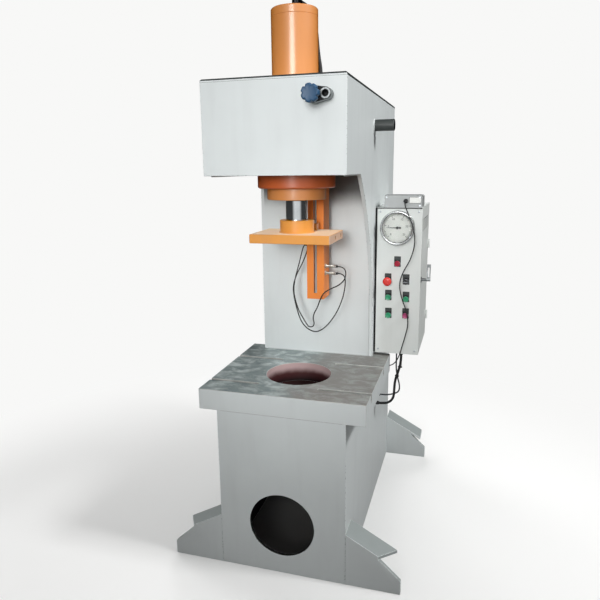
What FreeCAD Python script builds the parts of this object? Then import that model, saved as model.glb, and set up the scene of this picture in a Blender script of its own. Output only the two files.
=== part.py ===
import FreeCAD, Part
import math
import os

os.makedirs("parts", exist_ok=True)

# Single-column hydraulic press, millimetres, +Z up, +X to the operator's right, +Y to the back.
# The origin is where the ram axis meets the top of the table.

# ---- heights above the floor ----
table_height = 785.0
head_bottom_height = 1627.0
head_top_height = 1963.0
cylinder_top_height = 2238.0
rail_bottom_height = 1086.0
cabinet_bottom_height = 797.0

# ---- frame plates ----
frame_width = 535.0
ram_to_front = 276.0
throat_depth = 310.0
frame_depth = 1190.0
side_thickness = 16.0
front_thickness = 16.0
head_floor_thickness = 30.0
top_plate_thickness = 12.0
rear_thickness = 12.0
throat_corner_radius = 40.0
haunch_reach = 341.0
haunch_drop = 617.0
haunch_rise = 67.0
base_hole_radius = 138.0
base_hole_height = 219.0
weld_gap = 0.3
service_half_width = 190.0
service_bottom_height = 300.0
service_length = 900.0
cover_overlap = 20.0
cover_thickness = 3.0
louvre_length = 130.0
louvre_width = 8.0
louvre_pitch = 24.0
louvre_rows = 9
louvre_spread = 85.0
lifting_bar_radius = 24.0
lifting_bar_reach = 85.0
lifting_bar_drop = 137.0
lifting_bar_back = 275.0
bar_step = 1.0
bar_clearance = 0.3

# ---- feet ----
foot_reach = 222.0
foot_height = 227.0
foot_slope = 0.5515
foot_toe_height = 60.0
foot_knee_reach = 138.0
foot_flange_depth = 110.0
foot_flange_thickness = 12.0
foot_flange_reach = 132.0
foot_flange_far_reach = 195.0
foot_web_thickness = 16.0
rear_foot_inset = 12.0

# ---- table ----
table_half_width = 344.0
table_thickness = 86.0
table_ear_depth = 54.0
ear_clearance = 0.5
die_hole_radius = 140.0
slot_offset = 160.0
slot_start = 126.0
slot_width = 18.0
slot_neck_depth = 20.0
slot_head_width = 30.0
slot_head_depth = 14.0
chute_gap = 2.0
chute_wall = 8.0
chute_length = 190.0

# ---- cylinder and ram ----
barrel_radius = 90.0
bore_radius = 70.0
cap_thickness = 30.0
cap_chamfer = 4.0
flange_radius = 156.0
flange_thickness = 52.0
gland_radius = 119.0
gland_thickness = 45.0
spigot_length = 40.0
rod_radius = 45.0
running_clearance = 0.05
bush_wall = 7.0
bush_inset = 4.0
piston_length = 70.0
piston_land = 10.0
stroke_up = 70.0
stroke_clearance = 12.0
hub_radius = 70.0
hub_height = 51.0
edge_chamfer = 2.0
bolt_radius = 8.0
bolt_head_radius = 12.0
bolt_head_height = 16.0
bolt_count = 8
gland_bolt_circle = 95.0
flange_bolt_circle = 136.0
bolt_socket_radius = 7.0
bolt_socket_depth = 8.0
bolt_grip = 25.0

# ---- platen, guide shoe and guide rail ----
platen_half_width = 165.0
platen_half_depth = 120.0
platen_thickness = 36.0
tool_bore_radius = 25.0
tool_bore_depth = 30.0
side_hole_radius = 6.0
side_hole_depth = 20.0
side_hole_places = (-15.0, 80.0)
rail_centre = 38.0
rail_width = 76.0
rail_depth = 100.0
rail_wall = 10.0
rail_gap = 22.0
rail_slot_width = 14.0
rail_foot = 27.0
rail_drop = 2.0
rail_block_inset = 18.0
rail_slot_head = 18.0
tongue_clearance = 1.0
shoe_width = 50.0
shoe_height = 28.0
shoe_hub_gap = 6.0
tongue_height = 20.0
striker_width = 36.0
striker_depth = 46.0
striker_height = 40.0
striker_gap = 6.0

# ---- proximity sensors ----
sensor_radius = 6.0
sensor_rise = 145.0
sensor_pitch = 31.0
sensor_back = 168.0
sensor_tip_inset = 4.0
sensor_reach = 48.0
sensor_boot_length = 10.0
sensor_boot_radius = 4.5
sensor_fit = 0.05
sensor_nut_radius = 9.8
sensor_nut_thickness = 4.0

# ---- adjusting valve on the head (place: across, down from the head's top) ----
valve_place = (160.0, 73.0)
valve_radius = 28.0
valve_port_offset = (42.0, 2.0)
valve_port_outer = 20.0
valve_port_radius = 10.0
valve_port_depth = 26.0
valve_body_depth = 40.0
valve_bonnet_radius = 20.0
valve_bonnet_length = 16.0
valve_stem_radius = 8.0
valve_stem_length = 30.0
wheel_radius = 31.0
wheel_thickness = 26.0
wheel_gap = 4.0
wheel_lobes = 7
wheel_notch_radius = 5.0

# ---- control cabinet ----
cabinet_stand_off = 6.0
cabinet_width = 202.5
cabinet_depth = 400.0
cabinet_height = 679.0
cabinet_setback = 31.0
cabinet_sheet = 3.0
door_front_margin = 10.0
door_rear_margin = 24.0
door_sill = 24.0
door_head = 120.0
door_gap = 1.5
door_fold = 24.0
door_fold_depth = 16.0
door_fold_wall = 3.0
knuckle_radius = 5.0
knuckle_length = 22.0
knuckle_gap = 0.4
knuckle_stand = 5.5
hinge_leaf_width = 18.0
hinge_inset = 60.0
hinge_pin_radius = 2.5
spacer_radius = 15.0
spacer_inset = 40.0
vent_drop = 82.0
vent_slots = 5
vent_slot_width = 6.0
vent_slot_pitch = 12.0
vent_slot_length = 300.0
latch_place = (16.0, 353.0)
latch_shaft_radius = 6.0
latch_shaft_reach = 42.0
latch_lever_length = 76.0
latch_lever_width = 16.0
latch_lever_depth = 11.0
latch_window = (6.0, 46.0)
latch_cam_length = 20.0
latch_cam_width = 12.0
latch_cam_thickness = 3.0
latch_cam_gap = 1.0

# ---- terminal housing on the cabinet ----
terminal_left = 32.0
terminal_width = 167.0
terminal_height = 54.0
terminal_depth = 120.0
terminal_corner = 9.0
terminal_gland_place = (127.5, 29.0)

# ---- pressure gauge (place: across from the panel's left edge, down from its top) ----
gauge_place = (96.5, 87.0)
gauge_radius = 75.0
gauge_inner_radius = 69.0
gauge_lip_radius = 64.0
gauge_depth = 45.0
gauge_lip = 4.0
gauge_glass_thickness = 3.0
gauge_dial_depth = 22.0
gauge_dial_thickness = 2.0
gauge_fit = 0.3
pointer_length = 50.0
pointer_tail = 16.0
pointer_width = 5.0
pointer_thickness = 1.5
pointer_lift = 4.0
pointer_hub_radius = 6.0
pointer_shaft_radius = 2.0

# ---- push buttons (place: across from the panel's left edge, down from its top) ----
lamp_place = (97.5, 251.0)
stop_place = (56.5, 331.0)
selector_place = (138.5, 332.0)
start_left_place = (59.5, 408.0)
start_right_place = (140.5, 413.0)
jog_left_place = (61.5, 493.0)
jog_right_place = (140.5, 491.0)
legend_width = 30.0
legend_above = 33.0
legend_below = 15.0
legend_thickness = 1.5
bezel_radius = 15.0
bezel_bore = 13.0
bezel_height = 8.5
bezel_floor = 2.5
sleeve_radius = 11.0
sleeve_length = 17.0
button_head_radius = 12.6
button_head_height = 10.5
button_stem_radius = 9.5
button_stem_clearance = 0.1
button_travel = 4.0
button_stop_gap = 0.5
contact_width = 28.0
contact_height = 38.0
contact_depth = 34.0
mushroom_radius = 20.0
mushroom_height = 16.0
mushroom_neck = 16.0
selector_bar_width = 6.0
selector_bar_height = 12.0
lamp_height = 12.0

# ---- cable glands, cables and hose ----
gland_base_radius = 11.0
gland_base_length = 6.0
gland_nut_radius = 9.0
gland_nut_length = 17.5
cable_radius = 2.5
trunk_radius = 6.0
loop_radius = 3.5
hose_radius = 10.0
hose_rise = 32.0
hose_stub = 38.0
ferrule_wall = 3.5
elbow_arm = 30.0
fitting_nut_step = 4.5
fitting_nut_height = 14.0
tie_band = 2.0
tie_width = 4.0
tie_clearance = 0.3
tie_heights = (-74.0, -122.0)

# ---- power unit behind the throat plate ----
tank_half_width = 200.0
tank_depth = 430.0
tank_height = 390.0
tank_wall = 5.0
tank_hole_radius = 70.0
bell_radius = 85.0
bell_flange_radius = 100.0
bell_flange_thickness = 10.0
bell_height = 110.0
bell_wall = 8.0
bell_window = 70.0
pump_radius = 50.0
pump_length = 155.0
motor_radius = 95.0
motor_length = 300.0
motor_back = 215.0
coupling_radius = 32.0
coupling_length = 70.0
shaft_radius = 12.0
shaft_engagement = 22.0

# ---- levels worked out in the part's own frame ----
up = FreeCAD.Vector(0, 0, 1)
left = FreeCAD.Vector(-1, 0, 0)
right = FreeCAD.Vector(1, 0, 0)
front = FreeCAD.Vector(0, -1, 0)
back = FreeCAD.Vector(0, 1, 0)


def level(height):
    """Height above the floor turned into Z of the part's frame."""
    return height - table_height


floor = level(0.0)
frame_half = frame_width / 2
inner_half = frame_half - side_thickness
front_face = -ram_to_front
throat_face = throat_depth
rear_face = frame_depth - ram_to_front
head_bottom = level(head_bottom_height)
head_top = level(head_top_height)
side_top = head_top - top_plate_thickness
head_floor_top = head_bottom + head_floor_thickness
table_bottom = -table_thickness
flange_bottom = head_bottom - flange_thickness
gland_bottom = flange_bottom - gland_thickness
hub_top = gland_bottom - stroke_up - stroke_clearance
platen_top = hub_top - hub_height
platen_bottom = platen_top - platen_thickness
cylinder_top = level(cylinder_top_height)
barrel_top = cylinder_top - cap_thickness
piston_top = barrel_top - piston_land - stroke_up
piston_bottom = piston_top - piston_length
rail_front = platen_half_depth + rail_gap
rail_left = rail_centre - rail_width / 2
rail_right = rail_centre + rail_width / 2
rail_bottom = level(rail_bottom_height)
rail_top = flange_bottom - rail_drop
panel_face = throat_face + cabinet_setback
cabinet_left = frame_half + cabinet_stand_off
cabinet_right = cabinet_left + cabinet_width
cabinet_bottom = level(cabinet_bottom_height)
cabinet_top = cabinet_bottom + cabinet_height
cabinet_rear = panel_face + cabinet_depth


# ---- small makers ----
def vec(x, y, z):
    return FreeCAD.Vector(x, y, z)


def box(x_range, y_range, z_range):
    size = [pair[1] - pair[0] for pair in (x_range, y_range, z_range)]
    return Part.makeBox(size[0], size[1], size[2], vec(x_range[0], y_range[0], z_range[0]))


def round_bar(radius, length, base, direction):
    return Part.makeCylinder(radius, length, base, direction)


def ring(outer, inner, length, base, direction):
    return round_bar(outer, length, base, direction).cut(round_bar(inner, length, base, direction))


def hexagon_bar(radius, length, base, direction):
    side = direction.cross(up)
    if side.Length < 0.5:
        side = vec(1, 0, 0)
    side.normalize()
    other = direction.cross(side)
    corners = []
    for step in range(7):
        turn = math.radians(60 * step)
        corners.append(base + side * (radius * math.cos(turn)) + other * (radius * math.sin(turn)))
    return Part.Face(Part.makePolygon(corners)).extrude(direction * length)


def prism_yz(points, x_start, thickness):
    corners = [vec(x_start, y, z) for y, z in points + points[:1]]
    return Part.Face(Part.makePolygon(corners)).extrude(vec(thickness, 0, 0))


def prism_xz(points, y_start, thickness):
    corners = [vec(x, y_start, z) for x, z in points + points[:1]]
    return Part.Face(Part.makePolygon(corners)).extrude(vec(0, thickness, 0))


def prism_xy(points, z_start, thickness):
    corners = [vec(x, y, z_start) for x, y in points + points[:1]]
    return Part.Face(Part.makePolygon(corners)).extrude(vec(0, 0, thickness))


def around_axis(count, radius, z, start_turn=0.0):
    """Points evenly spaced on a circle about the ram axis."""
    places = []
    for index in range(count):
        turn = 2 * math.pi * (index + start_turn) / count
        places.append(vec(radius * math.cos(turn), radius * math.sin(turn), z))
    return places


def save(node, shape):
    shape.exportStep("parts/" + node + ".step")


def group(solids):
    return Part.makeCompound(solids)


# ---- welded frame ----
def side_plate(x_start, haunched):
    """C-shaped plate; the haunched one keeps a long curved rib in the throat's upper corner."""
    start = vec(x_start, front_face, floor)
    rear_low = vec(x_start, rear_face, floor)
    rear_high = vec(x_start, rear_face, side_top)
    front_high = vec(x_start, front_face, side_top)
    head_front = vec(x_start, front_face, head_bottom)
    table_back = vec(x_start, throat_face, table_bottom)
    table_front = vec(x_start, front_face, table_bottom)
    if haunched:
        arc_start = vec(x_start, throat_face - haunch_reach, head_bottom)
        arc_end = vec(x_start, throat_face, head_bottom - haunch_drop)
        chord = arc_end - arc_start
        bulge = vec(0, -chord.z, chord.y).normalize()
        arc_middle = (arc_start + arc_end) * 0.5 + bulge * haunch_rise
    else:
        reach = throat_corner_radius * (1 - math.sqrt(0.5))
        arc_start = vec(x_start, throat_face - throat_corner_radius, head_bottom)
        arc_end = vec(x_start, throat_face, head_bottom - throat_corner_radius)
        arc_middle = vec(x_start, throat_face - reach, head_bottom - reach)
    edges = [
        Part.makeLine(start, rear_low),
        Part.makeLine(rear_low, rear_high),
        Part.makeLine(rear_high, front_high),
        Part.makeLine(front_high, head_front),
        Part.makeLine(head_front, arc_start),
        Part.Arc(arc_start, arc_middle, arc_end).toShape(),
        Part.makeLine(arc_end, table_back),
        Part.makeLine(table_back, table_front),
        Part.makeLine(table_front, start),
    ]
    plate = Part.Face(Part.Wire(edges)).extrude(vec(side_thickness, 0, 0))
    bar_hole_base = vec(x_start, lifting_bar_back, head_top - lifting_bar_drop)
    bar_hole = round_bar(lifting_bar_radius + bar_step + bar_clearance, side_thickness, bar_hole_base, right)
    return plate.cut(bar_hole)


def head_front_plate():
    return box((-frame_half, frame_half), (front_face - front_thickness, front_face), (head_bottom, side_top))


def head_top_plate():
    plate = box((-frame_half, frame_half), (front_face - front_thickness, rear_face), (side_top, head_top))
    hole = round_bar(barrel_radius + weld_gap, top_plate_thickness, vec(0, 0, side_top), up)
    return plate.cut(hole)


def head_bottom_plate():
    plate = box((-inner_half, inner_half), (front_face, throat_face + front_thickness), (head_bottom, head_floor_top))
    hole = round_bar(barrel_radius + weld_gap, head_floor_thickness, vec(0, 0, head_bottom), up)
    plate = plate.cut(hole)
    for place in around_axis(bolt_count, flange_bolt_circle, head_bottom, 0.5):
        plate = plate.cut(round_bar(bolt_radius + weld_gap, head_floor_thickness, place, up))
    return plate


def throat_plate():
    return box((-inner_half, inner_half), (throat_face, throat_face + front_thickness), (floor, head_bottom))


def base_front_plate():
    plate = box((-inner_half, inner_half), (front_face, front_face + front_thickness), (floor, table_bottom))
    hole_base = vec(0, front_face, level(base_hole_height))
    return plate.cut(round_bar(base_hole_radius, front_thickness, hole_base, back))


def service_opening(margin):
    """Across and height ranges of the rear service opening, grown by a margin."""
    bottom = level(service_bottom_height)
    across = (-service_half_width - margin, service_half_width + margin)
    return across, (bottom - margin, bottom + service_length + margin)


def rear_plate():
    plate_front = rear_face - rear_thickness
    plate = box((-inner_half, inner_half), (plate_front, rear_face), (floor, side_top))
    across, heights = service_opening(0.0)
    return plate.cut(box(across, (plate_front, rear_face), heights))


def rear_cover():
    across, heights = service_opening(cover_overlap)
    cover = box(across, (rear_face, rear_face + cover_thickness), heights)
    first = heights[0] + (heights[1] - heights[0] - louvre_pitch * (louvre_rows - 1)) / 2
    for row in range(louvre_rows):
        z = first + row * louvre_pitch
        for side in (-louvre_spread, louvre_spread):
            slot_x = (side - louvre_length / 2, side + louvre_length / 2)
            slot_z = (z - louvre_width / 2, z + louvre_width / 2)
            cover = cover.cut(box(slot_x, (rear_face, rear_face + cover_thickness), slot_z))
    return cover


def foot(side, web_front, side_start):
    """Outrigger of one corner: a web in the plate's plane with a sloping flange behind it."""
    flange_drop = foot_flange_thickness * math.sqrt(1 + foot_slope ** 2)
    web_top = floor + foot_height - flange_drop
    knee_top = web_top - foot_slope * foot_knee_reach
    web_points = [
        (side * frame_half, floor),
        (side * (frame_half + foot_reach), floor),
        (side * (frame_half + foot_reach), floor + foot_toe_height),
        (side * (frame_half + foot_knee_reach), knee_top),
        (side * frame_half, web_top),
    ]
    web = prism_xz(web_points, web_front, foot_web_thickness)
    far_x = frame_half + foot_flange_far_reach
    far_drop = foot_slope * foot_flange_far_reach
    slab_points = [
        (side * frame_half, web_top),
        (side * far_x, web_top - far_drop),
        (side * far_x, web_top - far_drop + flange_drop),
        (side * frame_half, web_top + flange_drop),
    ]
    slab = prism_xz(slab_points, web_front, foot_flange_depth)
    plan = [
        (side * frame_half, web_front),
        (side * (frame_half + side_start), web_front),
        (side * far_x, web_front + foot_flange_depth),
        (side * frame_half, web_front + foot_flange_depth),
    ]
    outline = prism_xy(plan, floor, foot_height)
    return web.fuse(slab.common(outline)).removeSplitter()


def lifting_bar():
    """Bar through both side plates, with its free ends turned down by a small step."""
    reach = frame_half + lifting_bar_reach
    z = head_top - lifting_bar_drop
    bar = round_bar(lifting_bar_radius, 2 * reach, vec(-reach, lifting_bar_back, z), right)
    ends = [edge for edge in bar.Edges if edge.Closed]
    bar = bar.makeChamfer(edge_chamfer, ends)
    core_radius = lifting_bar_radius + bar_step
    core = round_bar(core_radius, frame_width, vec(-frame_half, lifting_bar_back, z), right)
    return bar.fuse(core)


# ---- table ----
def table_slab():
    slab_back = throat_face + table_ear_depth
    slab = box((-table_half_width, table_half_width), (front_face, slab_back), (table_bottom, 0))
    notch_half = frame_half + ear_clearance
    slab = slab.cut(box((-notch_half, notch_half), (throat_face, slab_back), (table_bottom, 0)))
    slab = slab.cut(round_bar(die_hole_radius, table_thickness, vec(0, 0, table_bottom), up))
    neck_bottom = -slot_neck_depth
    head_bottom_z = neck_bottom - slot_head_depth
    for side in (-1, 1):
        ends = sorted((side * slot_start, side * table_half_width))
        for y in (-slot_offset, slot_offset):
            neck = box(ends, (y - slot_width / 2, y + slot_width / 2), (neck_bottom, 0))
            head_y = (y - slot_head_width / 2, y + slot_head_width / 2)
            head = box(ends, head_y, (head_bottom_z, neck_bottom))
            slab = slab.cut(neck.fuse(head))
    return slab


def chute_ring():
    inner = die_hole_radius + chute_gap
    base = vec(0, 0, table_bottom - chute_length)
    return ring(inner + chute_wall, inner, chute_length, base, up)


# ---- cylinder ----
def cylinder_barrel():
    return ring(barrel_radius, bore_radius, barrel_top - flange_bottom, vec(0, 0, flange_bottom), up)


def cylinder_end_cap():
    cap = round_bar(barrel_radius, cap_thickness, vec(0, 0, barrel_top), up)
    rim = [edge for edge in cap.Edges if edge.Closed and edge.CenterOfMass.z > cylinder_top - 1]
    return cap.makeChamfer(cap_chamfer, rim)


def mounting_flange():
    flange = round_bar(flange_radius, flange_thickness, vec(0, 0, flange_bottom), up)
    rims = [edge for edge in flange.Edges if edge.Closed and edge.CenterOfMass.z < flange_bottom + 1]
    flange = flange.makeChamfer(edge_chamfer, rims)
    flange = flange.cut(round_bar(barrel_radius + weld_gap, flange_thickness, vec(0, 0, flange_bottom), up))
    hole_depth = bolt_grip + weld_gap
    for place in around_axis(bolt_count, flange_bolt_circle, head_bottom - hole_depth, 0.5):
        flange = flange.cut(round_bar(bolt_radius + weld_gap, hole_depth, place, up))
    return flange


def gland_flange():
    disc = round_bar(gland_radius, gland_thickness, vec(0, 0, gland_bottom), up)
    rims = [edge for edge in disc.Edges if edge.Closed and edge.CenterOfMass.z < gland_bottom + 1]
    disc = disc.makeChamfer(edge_chamfer, rims)
    spigot = round_bar(bore_radius - weld_gap, spigot_length, vec(0, 0, flange_bottom), up)
    bush_outer = rod_radius + running_clearance + bush_wall
    hole = round_bar(bush_outer + weld_gap, gland_thickness + spigot_length, vec(0, 0, gland_bottom), up)
    body = disc.fuse(spigot).removeSplitter().cut(hole)
    for place in around_axis(bolt_count, gland_bolt_circle, gland_bottom):
        body = body.cut(round_bar(bolt_head_radius + weld_gap, bolt_head_height, place, up))
    return body


def rod_bush():
    inner = rod_radius + running_clearance
    base = vec(0, 0, gland_bottom + bush_inset)
    return ring(inner + bush_wall, inner, gland_thickness + spigot_length - bush_inset, base, up)


def socket_screw(place, grip, direction):
    """Cap screw whose head stands against its seat and whose shank runs along the direction."""
    head = round_bar(bolt_head_radius, bolt_head_height, place, direction)
    socket = hexagon_bar(bolt_socket_radius, bolt_socket_depth, place, direction)
    head = head.cut(socket)
    if grip > 0:
        shank_base = place + direction * bolt_head_height
        head = head.fuse(round_bar(bolt_radius, grip, shank_base, direction))
    return head


def flange_bolts():
    screws = []
    for place in around_axis(bolt_count, gland_bolt_circle, gland_bottom):
        screws.append(socket_screw(place, 0, up))
    head_level = head_floor_top + bolt_head_height
    for place in around_axis(bolt_count, flange_bolt_circle, head_level, 0.5):
        screws.append(socket_screw(place, head_floor_thickness + bolt_grip, up * -1))
    return group(screws)


# ---- ram ----
def piston():
    return round_bar(bore_radius - running_clearance, piston_length, vec(0, 0, piston_bottom), up)


def piston_rod():
    return round_bar(rod_radius, piston_bottom - platen_top, vec(0, 0, platen_top), up)


def ram_hub():
    hub = round_bar(hub_radius, hub_height, vec(0, 0, platen_top), up)
    rim = [edge for edge in hub.Edges if edge.Closed and edge.CenterOfMass.z > hub_top - 1]
    hub = hub.makeChamfer(edge_chamfer, rim)
    return hub.cut(round_bar(rod_radius + weld_gap, hub_height, vec(0, 0, platen_top), up))


def platen():
    half_x = platen_half_width
    half_y = platen_half_depth
    body = box((-half_x, half_x), (-half_y, half_y), (platen_bottom, platen_top))
    body = body.makeChamfer(edge_chamfer, body.Edges)
    body = body.cut(round_bar(tool_bore_radius, tool_bore_depth, vec(0, 0, platen_bottom), up))
    for y in side_hole_places:
        base = vec(half_x, y, platen_bottom + platen_thickness / 2)
        body = body.cut(round_bar(side_hole_radius, side_hole_depth, base, left))
    return body


def guide_shoe():
    """Block on the platen whose tongue runs in the rail's slot and carries the striker."""
    block_x = (rail_centre - shoe_width / 2, rail_centre + shoe_width / 2)
    block_y = (hub_radius + shoe_hub_gap, platen_half_depth)
    block = box(block_x, block_y, (platen_top, platen_top + shoe_height))
    tongue_half = rail_slot_width / 2 - tongue_clearance
    tongue_low = platen_top + (shoe_height - tongue_height) / 2
    striker_front = rail_front + rail_wall + striker_gap
    tongue_x = (rail_centre - tongue_half, rail_centre + tongue_half)
    tongue = box(tongue_x, (platen_half_depth, striker_front), (tongue_low, tongue_low + tongue_height))
    middle = tongue_low + tongue_height / 2
    striker_x = (rail_centre - striker_width / 2, rail_centre + striker_width / 2)
    striker_z = (middle - striker_height / 2, middle + striker_height / 2)
    striker = box(striker_x, (striker_front, striker_front + striker_depth), striker_z)
    return block.fuse(tongue).fuse(striker)


def guide_rail():
    """Slotted channel, open at the back, welded to a block under the head."""
    rail_back = rail_front + rail_depth
    body = box((rail_left, rail_right), (rail_front, rail_back), (rail_bottom, rail_top))
    inside_x = (rail_left + rail_wall, rail_right - rail_wall)
    inside = box(inside_x, (rail_front + rail_wall, rail_back), (rail_bottom, rail_top))
    slot_x = (rail_centre - rail_slot_width / 2, rail_centre + rail_slot_width / 2)
    slot_z = (rail_bottom + rail_foot, rail_top - rail_slot_head)
    slot = box(slot_x, (rail_front, rail_front + rail_wall), slot_z)
    block = box((rail_left, rail_right), (rail_front + rail_block_inset, rail_back), (rail_top, head_bottom))
    body = body.cut(inside).cut(slot).fuse(block)
    for index in range(2):
        hole_base = vec(rail_right - rail_wall, sensor_back, sensor_level(index))
        body = body.cut(round_bar(sensor_radius + sensor_fit, rail_wall, hole_base, right))
    return body


# ---- sensors ----
def sensor_level(index):
    return rail_bottom + sensor_rise - sensor_pitch * index


def sensor_end():
    """X of the face where a sensor's cable leaves its boot."""
    return rail_right + sensor_reach + sensor_boot_length


def proximity_sensors():
    solids = []
    tip = rail_right - rail_wall - sensor_tip_inset
    for index in range(2):
        z = sensor_level(index)
        barrel = round_bar(sensor_radius, rail_right + sensor_reach - tip, vec(tip, sensor_back, z), right)
        boot_base = vec(rail_right + sensor_reach, sensor_back, z)
        boot = Part.makeCone(sensor_radius, sensor_boot_radius, sensor_boot_length, boot_base, right)
        solids.append(barrel.fuse(boot))
    return group(solids)


def sensor_nuts():
    solids = []
    for index in range(2):
        base = vec(rail_right, sensor_back, sensor_level(index))
        nut = hexagon_bar(sensor_nut_radius, sensor_nut_thickness, base, right)
        bore = round_bar(sensor_radius + sensor_fit, sensor_nut_thickness, base, right)
        solids.append(nut.cut(bore))
    return group(solids)


# ---- valve ----
def valve_axis(y):
    return vec(valve_place[0], y, head_top - valve_place[1])


def valve_layout():
    """Y of the head's outer face, the body's face, the bonnet's face and the wheel's back."""
    outer = front_face - front_thickness
    body_face = outer - valve_body_depth
    bonnet_face = body_face - valve_bonnet_length
    return outer, body_face, bonnet_face, bonnet_face - wheel_gap


def valve_body():
    outer, body_face, bonnet_face, wheel_back = valve_layout()
    main = round_bar(valve_radius, valve_body_depth, valve_axis(outer), front)
    port_axis = valve_axis(outer) + vec(valve_port_offset[0], 0, valve_port_offset[1])
    port_boss = round_bar(valve_port_outer, valve_body_depth, port_axis, front)
    centre = valve_axis(outer)
    web_points = [
        (centre.x, centre.z - valve_radius),
        (port_axis.x, port_axis.z - valve_port_outer),
        (port_axis.x, port_axis.z + valve_port_outer),
        (centre.x, centre.z + valve_radius),
    ]
    web = prism_xz(web_points, body_face, valve_body_depth)
    bonnet = round_bar(valve_bonnet_radius, valve_bonnet_length, valve_axis(body_face), front)
    stem = round_bar(valve_stem_radius, valve_stem_length, valve_axis(bonnet_face), front)
    body = main.fuse(port_boss).fuse(web).fuse(bonnet).fuse(stem).removeSplitter()
    port_base = vec(port_axis.x, body_face, port_axis.z)
    return body.cut(round_bar(valve_port_radius, valve_port_depth, port_base, back))


def valve_handwheel():
    outer, body_face, bonnet_face, wheel_back = valve_layout()
    wheel = round_bar(wheel_radius, wheel_thickness, valve_axis(wheel_back), front)
    rims = [edge for edge in wheel.Edges if edge.Closed]
    wheel = wheel.makeFillet(edge_chamfer, rims)
    for lobe in range(wheel_lobes):
        turn = 2 * math.pi * (lobe + 0.5) / wheel_lobes
        reach = wheel_radius + wheel_notch_radius / 2
        offset = vec(reach * math.cos(turn), 0, reach * math.sin(turn))
        notch = round_bar(wheel_notch_radius, wheel_thickness, valve_axis(wheel_back) + offset, front)
        wheel = wheel.cut(notch)
    bore_depth = valve_stem_length - wheel_gap + 1
    bore_radius_here = valve_stem_radius + running_clearance
    return wheel.cut(round_bar(bore_radius_here, bore_depth, valve_axis(wheel_back), front))


# ---- cabinet ----
def door_window():
    """Depth and height ranges of the side door's opening."""
    depths = (panel_face + door_front_margin, cabinet_rear - door_rear_margin)
    heights = (cabinet_bottom + door_sill, cabinet_top - door_head)
    return depths, heights


def hinge_axis():
    depths, heights = door_window()
    return cabinet_right + knuckle_stand, depths[1] - door_gap / 2


def hinge_levels():
    """Z where each hinge's lower knuckle starts."""
    depths, heights = door_window()
    return heights[0] + hinge_inset, heights[1] - hinge_inset - 2 * knuckle_length - knuckle_gap


def hinge_knuckle(leaf_side, z_start, radius_inside):
    """Rolled knuckle with its leaf; leaf_side is +1 for the frame's leaf and -1 for the door's."""
    axis_x, axis_y = hinge_axis()
    knuckle = round_bar(knuckle_radius, knuckle_length, vec(axis_x, axis_y, z_start), up)
    near = axis_y + leaf_side * door_gap / 2
    far = axis_y + leaf_side * hinge_leaf_width
    leaf_y = sorted((near, far))
    leaf = box((cabinet_right, cabinet_right + cabinet_sheet), leaf_y, (z_start, z_start + knuckle_length))
    body = knuckle.fuse(leaf)
    if radius_inside > 0:
        body = body.cut(round_bar(radius_inside, knuckle_length, vec(axis_x, axis_y, z_start), up))
    return body


def cabinet_box():
    sheet = cabinet_sheet
    outer = box((cabinet_left, cabinet_right), (panel_face, cabinet_rear), (cabinet_bottom, cabinet_top))
    inner_x = (cabinet_left + sheet, cabinet_right - sheet)
    inner_y = (panel_face + sheet, cabinet_rear - sheet)
    inner_z = (cabinet_bottom + sheet, cabinet_top - sheet)
    body = outer.cut(box(inner_x, inner_y, inner_z))
    depths, heights = door_window()
    body = body.cut(box((cabinet_right - sheet, cabinet_right), depths, heights))
    vent_low = cabinet_top - vent_drop - vent_slot_pitch * (vent_slots - 1) / 2
    middle = (depths[0] + depths[1]) / 2
    vent_y = (middle - vent_slot_length / 2, middle + vent_slot_length / 2)
    for index in range(vent_slots):
        z = vent_low + index * vent_slot_pitch
        slot = (z - vent_slot_width / 2, z + vent_slot_width / 2)
        body = body.cut(box((cabinet_right - sheet, cabinet_right), vent_y, slot))
    for place in control_places():
        body = body.cut(round_bar(sleeve_radius + weld_gap, sheet, control_axis(place, panel_face), back))
    for y in (panel_face + spacer_inset, cabinet_rear - spacer_inset):
        for z in (cabinet_bottom + spacer_inset, cabinet_top - spacer_inset):
            body = body.fuse(round_bar(spacer_radius, cabinet_stand_off, vec(frame_half, y, z), right))
    axis_x, axis_y = hinge_axis()
    for z in hinge_levels():
        body = body.fuse(hinge_knuckle(1, z, 0))
        pin_base = vec(axis_x, axis_y, z + knuckle_length)
        body = body.fuse(round_bar(hinge_pin_radius, knuckle_length + knuckle_gap, pin_base, up))
    return body


def latch_axis(x):
    return vec(x, panel_face + door_front_margin + latch_place[0], cabinet_bottom + latch_place[1])


def cabinet_door():
    depths, heights = door_window()
    skin_y = (depths[0] + door_gap, depths[1] - door_gap)
    skin_z = (heights[0] + door_gap, heights[1] - door_gap)
    skin = box((cabinet_right - cabinet_sheet, cabinet_right), skin_y, skin_z)
    fold_x = (cabinet_right - cabinet_sheet - door_fold_depth, cabinet_right - cabinet_sheet)
    fold_y = (skin_y[0] + door_fold, skin_y[1] - door_fold)
    fold_z = (skin_z[0] + door_fold, skin_z[1] - door_fold)
    fold = box(fold_x, fold_y, fold_z)
    wall = door_fold_wall
    hollow = box(fold_x, (fold_y[0] + wall, fold_y[1] - wall), (fold_z[0] + wall, fold_z[1] - wall))
    body = skin.fuse(fold.cut(hollow))
    for z in hinge_levels():
        upper = z + knuckle_length + knuckle_gap
        body = body.fuse(hinge_knuckle(-1, upper, hinge_pin_radius + running_clearance))
    hole = round_bar(latch_shaft_radius + running_clearance, cabinet_sheet, latch_axis(cabinet_right), left)
    return body.cut(hole)


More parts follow.
